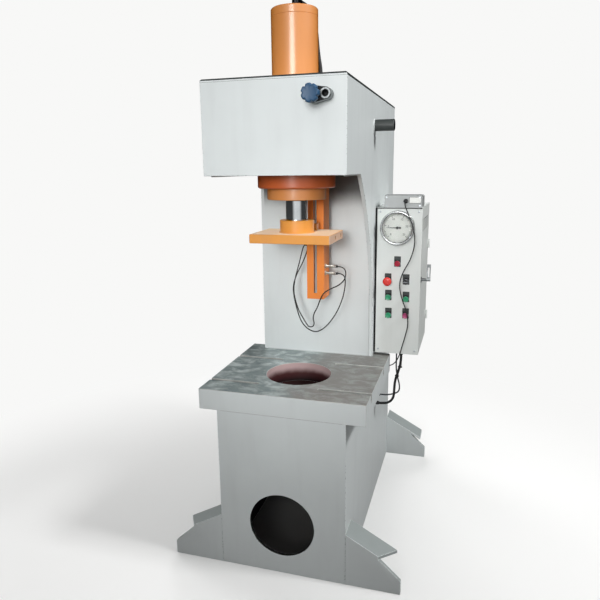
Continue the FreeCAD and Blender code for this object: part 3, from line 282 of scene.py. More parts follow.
def rubbed_primer():
    """Primer in the die hole: rubbed pale pink at the lip, maroon below it, and near black towards the bottom
    as painted shade deep in the hole.
    """
    material, tree, shader, place = start_finish("rubbed_pink_primer", Roughness=0.55)
    # scuffs about 35 mm across break the bands' borders
    scuffs = add(tree, "TexNoise", Vector=place, Scale=28.0, Detail=4.0)
    height = add(tree, "SeparateXYZ", place).outputs[2]
    level = add(tree, "Math", scuffs, 0.012, height, operation="MULTIPLY_ADD")
    upper = add(tree, "MapRange", level, -0.046, -0.01, interpolation_type="SMOOTHSTEP")
    # painted shade: the wall darkens to near black deeper in the hole
    lower = add(tree, "MapRange", level, -0.085, -0.045, interpolation_type="SMOOTHSTEP")
    deep = add(tree, "Mix", lower, linear("#1b1010"), linear("#4c2426"), data_type="RGBA")
    tone = add(tree, "Mix", upper, deep, linear("#c2a9a8"), data_type="RGBA")
    relief = add(tree, "Bump", Strength=0.3, Distance=0.0005, Height=scuffs)
    wire(tree, shader, Base_Color=tone, Normal=relief)
    return material


def platen_side():
    """Thin primer over the platen's sawn right side: pinkish beige, matt."""
    return sprayed("thin_beige_primer", linear("#d2ad92"), roughness=0.55, peel=1.5)


def dusty_platen():
    """The platen's enamel under a settled film of pale dust, as on its top."""
    return sprayed(
        "dusty_platen_enamel", linear("#d3a26e"), roughness=0.8, Specular_IOR_Level=0.1,
        Sheen_Weight=0.8, Sheen_Roughness=0.45, Sheen_Tint=linear("#f3dfc6"),
    )


def motor_enamel():
    """Blue-grey enamel on the cast motor and the tank."""
    return sprayed("motor_enamel", linear("#5d6f7c"), roughness=0.4, coat=0.1, peel=2.0, floor_darkening=0.2)


def dark_edge_paint():
    """Dark grey enamel with scuffs, on edges and dark fittings."""
    return sprayed("dark_edge_paint", linear("#333837"), roughness=0.5, peel=1.5, floor_darkening=0.2)


def weld_steel():
    """Weld bead under thinly sprayed enamel: greyer and duller than the plate."""
    return sprayed("painted_weld", shade_of(colours().frame_paint, 0.82), roughness=0.5, peel=1.5, floor_darkening=0.3)


def mill_scale_and_shade():
    """Mill scale on the unpainted hot-rolled plate inside the base, made near black as painted shade: matt
    and slightly uneven.
    """
    return sprayed("mill_scale_plate_and_shade", linear("#131312"), roughness=0.85, peel=1.5)


def worn_edge():
    """Paint rubbed thin on corners: grey steel shows through the enamel along its edges."""
    material, tree, shader, place = start_finish("worn_edge", Roughness=0.4, IOR=1.5)
    # chips 3 to 6 mm long
    chips = add(tree, "TexNoise", Vector=place, Scale=220.0, Detail=4.0)
    amount = add(tree, "MapRange", chips, 0.56, 0.64)
    coat = shade_of(colours().frame_paint, 0.97)
    tone = add(tree, "Mix", amount, coat, linear("#8d9293"), data_type="RGBA")
    bare = add(tree, "MapRange", amount, 0.0, 1.0, 0.0, 0.8)
    wire(tree, shader, Base_Color=tone, Metallic=bare)
    return material


def table_steel():
    """Surface-ground steel: fine lay, an oily blue-green bloom on the left and grey-brown on the right, with
    pale patches that are wiped oil and painted highlight.
    """
    material, tree, shader, place = start_finish("table_steel", Metallic=0.4)
    ground = add(tree, "Mapping", Vector=place, Scale=(12.0, 420.0, 60.0))
    lay = add(tree, "TexNoise", Vector=ground, Scale=1.0, Detail=5.0, Roughness=0.65)
    # pale patches 50 mm wide and 90 mm long, more on the left: wiped oil, and painted highlight
    pale_patch_place = add(tree, "Mapping", Vector=place, Rotation=(0.0, 0.0, 0.9), Scale=(11.0, 19.0, 8.0))
    streak = add(tree, "TexNoise", Vector=pale_patch_place, Scale=1.0, Detail=8.0, Roughness=0.7, Distortion=0.5)
    # mottling 50 mm across
    mottle = add(tree, "TexNoise", Vector=place, Scale=20.0, Detail=6.0)
    # the two tones meet along a wavering line near the die hole's middle
    across = add(tree, "SeparateXYZ", place).outputs[0]
    drifted = add(tree, "Math", mottle, 0.16, -0.08, operation="MULTIPLY_ADD")
    border = add(tree, "Math", across, drifted, operation="ADD")
    side = add(tree, "MapRange", border, -0.09, 0.11, interpolation_type="SMOOTHSTEP")
    left = add(tree, "Mix", mottle, linear("#627173"), linear("#a9b4b3"), data_type="RGBA")
    right = add(tree, "Mix", mottle, linear("#74736f"), linear("#96938f"), data_type="RGBA")
    tone = add(tree, "Mix", side, left, right, data_type="RGBA")
    bloom = add(tree, "MapRange", side, 0.0, 1.0, 0.95, 0.35)
    pale = add(tree, "MapRange", streak, 0.47, 0.62, 0.0, bloom)
    # the pale patches of wiped oil and painted highlight laid over the tones
    smears_and_highlights = add(tree, "Mix", pale, tone, linear("#c3cccb"), data_type="RGBA")
    dull = add(tree, "MapRange", mottle, 0.0, 1.0, 0.3, 0.55)
    relief = add(tree, "Bump", Strength=0.3, Distance=0.0002, Height=lay)
    wire(tree, shader, Base_Color=smears_and_highlights, Roughness=dull, Normal=relief)
    return material


def metal(name, colour, roughness, grain, depth, stretch=(1, 1, 1), stain=None, spread=0.12, metallic=1.0):
    """Bare metal: working marks of a real width in mm, stretched along the cut, and drifting stains."""
    material, tree, shader, place = start_finish(name, Metallic=metallic)
    worked = add(tree, "Mapping", Vector=place, Scale=tuple(1000 / (grain * along) for along in stretch))
    marks = add(tree, "TexNoise", Vector=worked, Scale=1.0, Detail=4.0, Roughness=0.6)
    # handling stains, about 45 mm across
    blotch = add(tree, "TexNoise", Vector=place, Scale=22.0, Detail=5.0)
    amount = add(tree, "MapRange", blotch, 0.4, 0.68)
    bright = add(tree, "Mix", marks, shade_of(colour, 0.88), shade_of(colour, 1.08), data_type="RGBA")
    tone = add(tree, "Mix", amount, bright, stain or shade_of(colour, 0.78), data_type="RGBA")
    both = add(tree, "Mix", 0.5, marks, amount)
    dull = add(tree, "MapRange", both, 0.0, 1.0, roughness - spread / 2, roughness + spread)
    relief = add(tree, "Bump", Strength=0.35, Distance=depth, Height=marks)
    wire(tree, shader, Base_Color=tone, Roughness=dull, Normal=relief)
    return material


def milled_steel():
    """Milled steel in the T-slots and on the guide shoe: bright, with feed marks 1.5 mm apart."""
    return metal(
        "milled_steel", linear("#dcddda"), roughness=0.42, grain=1.5, depth=0.0002, stretch=(40, 1, 40),
        stain=linear("#c2c3c0"), metallic=0.55,
    )


def turned_steel():
    """Plain turned steel: grey with fine lay round the part."""
    return metal(
        "turned_steel", linear("#a7a9aa"), roughness=0.34, grain=2.0, depth=0.0002, stretch=(1, 1, 0.3)
    )


def hard_chrome():
    """Ground hard chrome on the rod: near mirror, with faint polishing rings."""
    return metal(
        "hard_chrome", linear("#cdd1d4"), roughness=0.08, grain=3.0, depth=0.00003, stretch=(30, 30, 0.4),
        stain=linear("#c0c4c7"), spread=0.05,
    )


def nickel_plate():
    """Nickel-plated brass of the sensors and their nuts: warm and bright."""
    return metal("nickel_plated_brass", linear("#d3d0c8"), roughness=0.3, grain=4.0, depth=0.00005)


def zinc_plate():
    """Bright zinc plate of the screws, with a faint blue passivation."""
    return metal("zinc_plate", linear("#c0c6cb"), roughness=0.3, grain=3.0, depth=0.0001)


def cast_zinc():
    """Die-cast zinc of the valve and the latch: mid grey with a fine blasted skin."""
    return metal("die_cast_zinc", linear("#85898a"), roughness=0.42, grain=0.8, depth=0.0002)


def chrome_plate():
    """Decorative chrome on the buttons' collars: bright, with a slow unevenness."""
    return metal("chrome_plate", linear("#9a9ea1"), roughness=0.16, grain=6.0, depth=0.00003, spread=0.06)


def stainless_steel():
    """Stainless steel of the gauge case: spun, satin."""
    return metal(
        "stainless_steel", linear("#a3a6a6"), roughness=0.22, grain=0.8, depth=0.0001, stretch=(1, 30, 1)
    )


def gunmetal_bronze():
    """Cast bronze of the rod bush: warm brown-gold with a turned bore."""
    return metal(
        "gunmetal_bronze", linear("#b08a4f"), roughness=0.35, grain=1.5, depth=0.0002, stretch=(1, 1, 0.4),
        stain=linear("#8f6f41"),
    )


def black_oxide():
    """Black oxide on cap screws and hose fittings: blue-black steel with a soft gloss."""
    return metal("black_oxide_steel", linear("#2c2d30"), roughness=0.4, grain=2.0, depth=0.0001)


def bare_aluminium():
    """Raw machined aluminium of the pump's bell and the coupling: pale, with fine turning marks."""
    return metal(
        "machined_aluminium", linear("#c8cacb"), roughness=0.33, grain=1.5, depth=0.0002, stretch=(1, 1, 0.3)
    )


def moulded(name, colour, roughness, grain, depth, mottle=0.06, **constants):
    """Moulded plastic or rubber: spark-eroded grain with its width in mm, drifting tone, handling shine."""
    constants = {"IOR": 1.5, **constants}
    material, tree, shader, place = start_finish(name, **constants)
    texture = add(tree, "TexNoise", Vector=place, Scale=1000 / grain, Detail=3.0)
    # finger marks, 20 mm across
    shine = add(tree, "TexNoise", Vector=place, Scale=50.0, Detail=2.0)
    dark, pale = shade_of(colour, 1 - mottle), shade_of(colour, 1 + mottle)
    tone = add(tree, "Mix", shine, dark, pale, data_type="RGBA")
    dull = add(tree, "MapRange", shine, 0.0, 1.0, roughness - 0.06, roughness + 0.08)
    relief = add(tree, "Bump", Strength=0.3, Distance=depth, Height=texture)
    wire(tree, shader, Base_Color=tone, Roughness=dull, Normal=relief)
    return material


def wheel_nylon():
    """Blue glass-filled nylon of the handwheel: satin, with a fine grain."""
    return moulded("blue_nylon", colours().wheel_plastic, roughness=0.42, grain=0.9, depth=0.0002)


def stop_plastic():
    """Red acrylic-faced ABS of the mushroom button: glossy."""
    return moulded("red_abs", colours().stop_red, roughness=0.25, grain=1.2, depth=0.00005, Coat_Weight=0.4)


def start_plastic():
    """Green ABS of the start buttons and the left jog button: semi-gloss."""
    return moulded(
        "green_abs", colours().start_green, roughness=0.3, grain=1.2, depth=0.00005, Coat_Weight=0.3
    )


def jog_plastic():
    """Magenta ABS of the right jog button: semi-gloss."""
    return moulded(
        "magenta_abs", colours().jog_magenta, roughness=0.3, grain=1.2, depth=0.00005, Coat_Weight=0.3
    )


def lamp_lens():
    """Red polycarbonate lens: deep red and glossy, with a faint painted glow."""
    red = linear("#a8203a")
    return moulded(
        "red_polycarbonate", red, roughness=0.16, grain=1.5, depth=0.0001, mottle=0.1, Coat_Weight=0.4,
        IOR=1.585, Emission_Color=red, Emission_Strength=0.06,
    )


def black_abs():
    """Black ABS of plates, knobs and glands: fine matt grain."""
    return moulded("black_abs", linear("#0d0e0f"), roughness=0.55, grain=0.8, depth=0.0001)


def grey_abs():
    """Light grey polycarbonate of the terminal box: satin with a soft grain."""
    return moulded("grey_polycarbonate", linear("#aeb1b1"), roughness=0.48, grain=1.0, depth=0.00015)


def cable_pvc():
    """Black PVC cable sheath: soft satin, slightly uneven."""
    return moulded("black_pvc", linear("#101112"), roughness=0.45, grain=3.0, depth=0.0003)


def grey_pvc():
    """Dark grey PVC cable sheath: a shade lighter than the trunk."""
    return moulded("grey_pvc", linear("#34373a"), roughness=0.42, grain=3.0, depth=0.0003)


def hose_rubber():
    """Black rubber hose cover: matt, with a coarse skin about 2 mm across."""
    return moulded("black_hose_rubber", linear("#242425"), roughness=0.55, grain=2.0, depth=0.0005)


def black_rubber_and_shade():
    """Black EPDM rubber: dull and open-grained; in the cabinet's gaps and the valve's port it stands as
    painted shade.
    """
    return moulded("black_epdm_and_shade", linear("#17181a"), roughness=0.75, grain=1.0, depth=0.0004)


def dial_enamel():
    """White enamelled dial plate: smooth and faintly warm."""
    return moulded(
        "white_dial_enamel", linear("#f1f1ec"), roughness=0.4, grain=2.0, depth=0.00005, mottle=0.02
    )


def print_ink():
    """Black screen print on the dial: flat and slightly raised."""
    return moulded("black_ink", linear("#161718"), roughness=0.5, grain=0.6, depth=0.00002)


def label_film():
    """Blank white polyester label: smooth film with faint yellowing."""
    return moulded(
        "white_polyester", linear("#eeefeb"), roughness=0.35, grain=2.0, depth=0.00005, mottle=0.03
    )


def instrument_glass():
    """Float glass over the dial: clear, with a faint green body and a few wipe marks."""
    material, tree, shader, place = start_finish("float_glass", Transmission_Weight=1.0, IOR=1.5)
    smear = add(tree, "TexNoise", Vector=place, Scale=60.0, Detail=4.0)
    tint = add(tree, "Mix", smear, linear("#f6faf8"), linear("#ffffff"), data_type="RGBA")
    dull = add(tree, "MapRange", smear, 0.5, 0.8, 0.0, 0.06)
    wire(tree, shader, Base_Color=tint, Roughness=dull)
    return material


# ---- shaping ----
def cad_copy(node):
    """A bmesh of the node's solids, with seams joined and flat faces made whole."""
    mesh = bmesh.new()
    mesh.from_mesh(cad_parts[node].data)
    bmesh.ops.remove_doubles(mesh, verts=mesh.verts, dist=2e-6)
    bmesh.ops.dissolve_limit(mesh, angle_limit=math.radians(0.4), verts=mesh.verts, edges=mesh.edges)
    for face in mesh.faces:
        face.material_index = 0
    return mesh


def round_the_ring(count, offset=0.0):
    """Angles spaced evenly round a full turn."""
    return [2 * math.pi * (index + offset) / count for index in range(count)]


def on_circle(radius, angle):
    """The two coordinates of a point at an angle round a circle."""
    return (radius * math.cos(angle), radius * math.sin(angle))


def middle_of(line):
    """The middle of an edge."""
    return (line.verts[0].co + line.verts[1].co) / 2


def block(mesh, low, high, coat=0):
    """A rectangular block between two corners."""
    middle = (Vector(low) + Vector(high)) / 2
    size = Vector(high) - Vector(low)
    place = Matrix.Translation(middle) @ Matrix.Diagonal((*size, 1.0))
    made = bmesh.ops.create_cube(mesh, size=1.0, matrix=place)
    for vert in made["verts"]:
        for face in vert.link_faces:
            face.material_index = coat


def bridge(mesh, first, second, coat):
    """Faces between two rings of vertices; a ring of one vertex is a tip on the axis."""
    steps = max(len(first), len(second))
    for step in range(steps if steps > 1 else 0):
        after = (step + 1) % steps
        corners = [first[step % len(first)], first[after % len(first)]]
        corners += [second[after % len(second)], second[step % len(second)]]
        mesh.faces.new(list(dict.fromkeys(corners))).material_index = coat


def lids(mesh, first, last, coat):
    """Flat faces on a body's two end rings."""
    mesh.faces.new(first[::-1]).material_index = coat
    mesh.faces.new(last).material_index = coat


def ring_of(mesh, centre, across, beside, radius, steps, shape=None):
    """Vertices round a centre; shape scales the radius by angle."""
    ring = []
    for turn in round_the_ring(steps):
        reach = radius * (shape(turn) if shape else 1.0)
        ring.append(mesh.verts.new(centre + (across * math.cos(turn) + beside * math.sin(turn)) * reach))
    return ring


def turned(mesh, centre, axis, profile, coat=0, steps=72, shape=None):
    """A lathe-turned body of (radius, distance along the axis[, coat]) points; shape scales it by angle."""
    across, beside, along = AXES[axis]
    closed = profile[0][:2] == profile[-1][:2]
    rings = []
    for radius, distance, *_ in profile[:-1] if closed else profile:
        base = Vector(centre) + along * distance
        if radius == 0.0:
            rings.append([mesh.verts.new(base)])
        else:
            rings.append(ring_of(mesh, base, across, beside, radius, steps, shape))
    if closed:
        rings.append(rings[0])
    for first, second, point in zip(rings, rings[1:], profile):
        bridge(mesh, first, second, point[2] if len(point) > 2 else coat)


def nut(mesh, centre, axis, radius, start, end, coat=0):
    """A hexagon nut with chamfered corners."""
    across, beside, along = AXES[axis]
    chamfer = 0.0006
    rings = []
    for distance, corner in (
        (start, radius * 0.93), (start + chamfer, radius), (end - chamfer, radius), (end, radius * 0.93)
    ):
        rings.append(ring_of(mesh, Vector(centre) + along * distance, across, beside, corner, 6))
    for first, second in zip(rings, rings[1:]):
        bridge(mesh, first, second, coat)
    lids(mesh, rings[0], rings[-1], coat)


def prism(mesh, outline, axis, start, end, coat=0):
    """A prism: outline points lie across the axis, from start to end along it."""
    across, beside, along = AXES[axis]
    ends = []
    for distance in (start, end):
        ends.append([mesh.verts.new(across * a + beside * b + along * distance) for a, b in outline])
    lids(mesh, *ends, coat)
    bridge(mesh, *ends, coat)


def rounded(width, height, radius, centre):
    """Points of a rounded rectangle round a centre."""
    steps = 6
    points = []
    for side_x, side_y, start in ((1, 1, 0), (-1, 1, 90), (-1, -1, 180), (1, -1, 270)):
        for step in range(steps + 1):
            across, beside = on_circle(radius, math.radians(start + 90 * step / steps))
            corner = (side_x * (width / 2 - radius), side_y * (height / 2 - radius))
            points.append((centre[0] + corner[0] + across, centre[1] + corner[1] + beside))
    return points


def swept(mesh, path, radius, sides, ripple=0.0, closed=False):
    """A round bar along a path; ripple swells it every weld ripple, as a weld bead has."""
    dense = []
    spacing = sizes().weld_ripple / 3
    points = [Vector(point) for point in path]
    if closed:
        points.append(points[0])
    for first, second in zip(points, points[1:]):
        count = max(1, round((second - first).length / spacing)) if ripple else 1
        dense += [first.lerp(second, step / count) for step in range(count)]
    if not closed:
        dense.append(points[-1])
    rings = []
    total = len(dense)
    for index, point in enumerate(dense):
        before = dense[index - 1] if index or closed else point
        after = dense[(index + 1) % total] if index < total - 1 or closed else point
        ahead = (after - before).normalized()
        side = ahead.cross(Vector((0.31, 0.17, 0.93))).normalized()
        swell = radius * (1 + ripple * (0, 1, 0.4)[index % 3] + ripple * 0.8 * math.sin(index * 2.39))
        rings.append(ring_of(mesh, point, side, ahead.cross(side), swell, sides))
    for first, second in zip(rings, rings[1:] + rings[:1] if closed else rings[1:]):
        bridge(mesh, first, second, 0)
    if not closed:
        lids(mesh, rings[0], rings[-1], 0)


def circle(centre, radius, steps, axis="up"):
    """Points round a circle about an axis."""
    across, beside, _ = AXES[axis]
    return [
        Vector(centre) + (across * math.cos(turn) + beside * math.sin(turn)) * radius
        for turn in round_the_ring(steps)
    ]


def coat_faces(mesh, choose):
    """Gives each face the coat that choose(centre, normal) names."""
    for face in mesh.faces:
        face.material_index = choose(face.calc_center_median(), face.normal)


def piece(
    name, mesh, coats, body, node, slot, edge=0.0, edge_coat=-1, segments=2, crease=35, free=None
):
    """Turns a bmesh into a named piece on its body, with broken edges and shading that keeps flats flat.

    It stands for a node of the frame, or for none. Its creases are in degrees, and free(middle) picks the
    edges that are broken where not all of them are.
    """
    bmesh.ops.recalc_face_normals(mesh, faces=mesh.faces)
    if free:
        weight = mesh.edges.layers.float.new("bevel_weight_edge")
        for line in mesh.edges:
            sharp = line.calc_face_angle(0) > math.radians(crease)
            line[weight] = 1.0 if sharp and free(middle_of(line)) else 0.0
    data = bpy.data.meshes.new(name)
    mesh.to_mesh(data)
    mesh.free()
    for coat in coats:
        data.materials.append(made_once(coat))
    data.shade_smooth()
    data.set_sharp_from_angle(angle=math.radians(crease))
    made = bpy.data.objects.new(name, data)
    bpy.context.scene.collection.objects.link(made)
    if edge:
        bevel = made.modifiers.new("edges", "BEVEL")
        bevel.width = edge
        bevel.segments = segments
        bevel.limit_method = "WEIGHT" if free else "ANGLE"
        bevel.angle_limit = math.radians(crease)
        bevel.harden_normals = True
        bevel.material = edge_coat
    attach(made, body)
    if node:
        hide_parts(node)
    return made


def turned_piece(name, centre, axis, profile, steps, *facts, **edges):
    """A piece of one lathe-turned body, with the facts and edges that piece() takes."""
    mesh = bmesh.new()
    turned(mesh, centre, axis, profile, steps=steps)
    piece(name, mesh, *facts, **edges)


def heights(node):
    """The lowest and highest level of a node of the frame."""
    low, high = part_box(node)
    return low[2], high[2]


# ---- camera and cables ----
class PRESS_OT_camera(Operator):
    """Place the camera before the press's right front corner"""

    bl_idname = "press.camera"
    bl_label = "Camera"

    def execute(self, context):
        # turned to the left, tipped down and rolled by these angles in radians
        yaw, pitch, roll = 0.2897, 0.2237, -0.0118
        place = (0.6853, -2.2702, 0.865)
        level = Vector((math.cos(yaw), math.sin(yaw), 0.0))
        ahead = Vector((-math.sin(yaw) * math.cos(pitch), math.cos(yaw) * math.cos(pitch), -math.sin(pitch)))
        rise = level.cross(ahead)
        across = level * math.cos(roll) + rise * math.sin(roll)
        above = rise * math.cos(roll) - level * math.sin(roll)
        data = bpy.data.cameras.new("press_camera")
        data.lens = 34.62
        data.sensor_width = 36.0
        camera = bpy.data.objects.new("press_camera", data)
        aim = Matrix((across, above, -ahead)).transposed().to_4x4()
        camera.matrix_world = Matrix.Translation(place) @ aim
        context.scene.collection.objects.link(camera)
        context.scene.camera = camera
        return {"FINISHED"}


def cable(name, node, coat, points, radius):
    """A cable or hose on one smooth curve through the route's points, hung between its two ends."""
    curve = bpy.data.curves.new(name, "CURVE")
    curve.dimensions = "3D"
    curve.bevel_depth = radius
    curve.bevel_resolution = 6
    curve.resolution_u = 10
    curve.use_fill_caps = True
    spline = curve.splines.new("NURBS")
    spline.points.add(len(points) - 1)
    for point, place in zip(spline.points, points):
        point.co = (*place, 1.0)
    spline.order_u = 3
    spline.use_endpoint_u = True
    curve.materials.append(made_once(coat))
    run = bpy.data.objects.new(name, curve)
    bpy.context.scene.collection.objects.link(run)
    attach(run, "frame")
    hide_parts(node)


UPPER_SENSOR_LEAD = [
    (0.134, 0.168, 0.446), (0.154, 0.168, 0.446), (0.171, 0.166, 0.426), (0.168, 0.158, 0.392),
    (0.143, 0.147, 0.366), (0.109, 0.135, 0.352), (0.078, 0.127, 0.333), (0.062, 0.126, 0.3),
    (0.05, 0.131, 0.266), (0.033, 0.138, 0.239), (0.025, 0.143, 0.21), (0.031, 0.149, 0.184),
    (0.02, 0.153, 0.168), (0.001, 0.156, 0.167), (-0.013, 0.16, 0.184), (-0.031, 0.165, 0.211),
    (-0.05, 0.17, 0.24), (-0.066, 0.175, 0.284), (-0.076, 0.181, 0.332), (-0.07, 0.192, 0.384),
    (-0.058, 0.206, 0.436), (-0.049, 0.222, 0.486), (-0.045, 0.248, 0.525), (-0.045, 0.2865, 0.525),
]
LOWER_SENSOR_LEAD = [
    (0.134, 0.168, 0.415), (0.152, 0.168, 0.415), (0.167, 0.167, 0.397), (0.167, 0.166, 0.364),
    (0.162, 0.165, 0.331), (0.153, 0.165, 0.296), (0.135, 0.162, 0.25), (0.108, 0.16, 0.204),
    (0.074, 0.157, 0.164), (0.034, 0.156, 0.142), (-0.008, 0.162, 0.156), (-0.04, 0.169, 0.19),
    (-0.058, 0.176, 0.238), (-0.074, 0.184, 0.29), (-0.082, 0.193, 0.342), (-0.068, 0.205, 0.396),
    (-0.044, 0.214, 0.442), (-0.027, 0.226, 0.488), (-0.022, 0.25, 0.525), (-0.022, 0.2865, 0.525),
]
GAUGE_SIGNAL_LEAD = [
    (0.401, 0.3175, 0.72), (0.401, 0.297, 0.72), (0.404, 0.283, 0.704), (0.414, 0.281, 0.68),
    (0.428, 0.281, 0.648), (0.442, 0.28, 0.61), (0.452, 0.28, 0.564), (0.448, 0.281, 0.514),
    (0.432, 0.283, 0.462), (0.402, 0.285, 0.41), (0.386, 0.286, 0.352), (0.401, 0.286, 0.288),
    (0.424, 0.287, 0.232), (0.433, 0.289, 0.172), (0.421, 0.294, 0.116), (0.407, 0.304, 0.064),
    (0.395, 0.322, 0.018), (0.38, 0.348, -0.024), (0.358, 0.374, -0.056), (0.326, 0.392, -0.072),
    (0.291, 0.392, -0.072),
]
MAIN_TRUNK = [
    (0.393, 0.4, -0.0115), (0.393, 0.4, -0.05), (0.381, 0.402, -0.098), (0.366, 0.404, -0.146),
    (0.363, 0.405, -0.205), (0.361, 0.405, -0.236), (0.345, 0.404, -0.259), (0.32, 0.402, -0.27),
    (0.291, 0.402, -0.27),
]
RETURN_LOOP = [
    (0.368, 0.426, -0.0115), (0.368, 0.426, -0.048), (0.368, 0.422, -0.09), (0.376, 0.419, -0.134),
    (0.388, 0.417, -0.172), (0.386, 0.417, -0.208), (0.356, 0.42, -0.224), (0.322, 0.43, -0.236),
    (0.291, 0.43, -0.236),
]
CYLINDER_HOSE = [
    (0.01, 0.037, 1.485), (0.021, 0.078, 1.485), (0.0305, 0.115, 1.469), (0.038, 0.144, 1.439),
    (0.042, 0.159, 1.4), (0.044, 0.166, 1.352), (0.049, 0.168, 1.304), (0.057, 0.17, 1.258),
    (0.057, 0.17, 1.216),
]


class PRESS_OT_cables(Operator):
    """Hang the sensor leads, the signal lead, the trunk, the loop and the cylinder's hose"""

    bl_idname = "press.cables"
    bl_label = "Cables and hose"

    def execute(self, context):
        for name, node, points, length in (
            ("upper_sensor_lead", "sensor_cable_upper", UPPER_SENSOR_LEAD, 0.8186),
            ("lower_sensor_lead", "sensor_cable_lower", LOWER_SENSOR_LEAD, 0.8274),
            ("gauge_signal_lead", "signal_cable", GAUGE_SIGNAL_LEAD, 0.9317),
        ):
            cable(name, node, cable_pvc, points, 0.0025)
        ties = self.ties()
        cable(
            "main_trunk", "cable_trunk", cable_pvc, MAIN_TRUNK, 0.006
        )
        cable("return_loop", "loop_cable", grey_pvc, RETURN_LOOP, 0.0035)
        cable(
            "cylinder_hose", "pressure_hose", hose_rubber, CYLINDER_HOSE, 0.01
        )
        return {"FINISHED"}

    def ties(self):
        """Two nylon ties on the trunk, with heads and cut tails."""
        mesh = cad_copy("cable_ties")
        for x, y, z in ((0.3875, 0.401, -0.074), (0.3735, 0.403, -0.122)):
            block(mesh, (x + 0.0062, y - 0.0035, z - 0.0028), (x + 0.0115, y + 0.0035, z + 0.0028))
            block(mesh, (x + 0.0085, y - 0.0017, z + 0.002), (x + 0.0097, y + 0.0017, z + 0.017))
        return piece("trunk_ties", mesh, [black_abs], "frame", "cable_ties", "black_plastic", edge=0.0004)


# ---- frame ----
def plate(name, node, free, coats, choose=None):
    """A frame plate: the solid's faces, with its free flame-cut edges broken and rubbed bare."""
    mesh = cad_copy(node)
    if choose:
        everything = mesh.verts[:] + mesh.edges[:] + mesh.faces[:]
        bmesh.ops.bisect_plane(mesh, geom=everything, plane_co=(0, 0, SLAB_UNDERSIDE), plane_no=(0, 0, 1))
        coat_faces(mesh, choose)
    piece(
        name, mesh, coats, "frame", node, "frame_paint", edge=sizes().plate_edge, edge_coat=1, segments=3,
        free=free,
    )


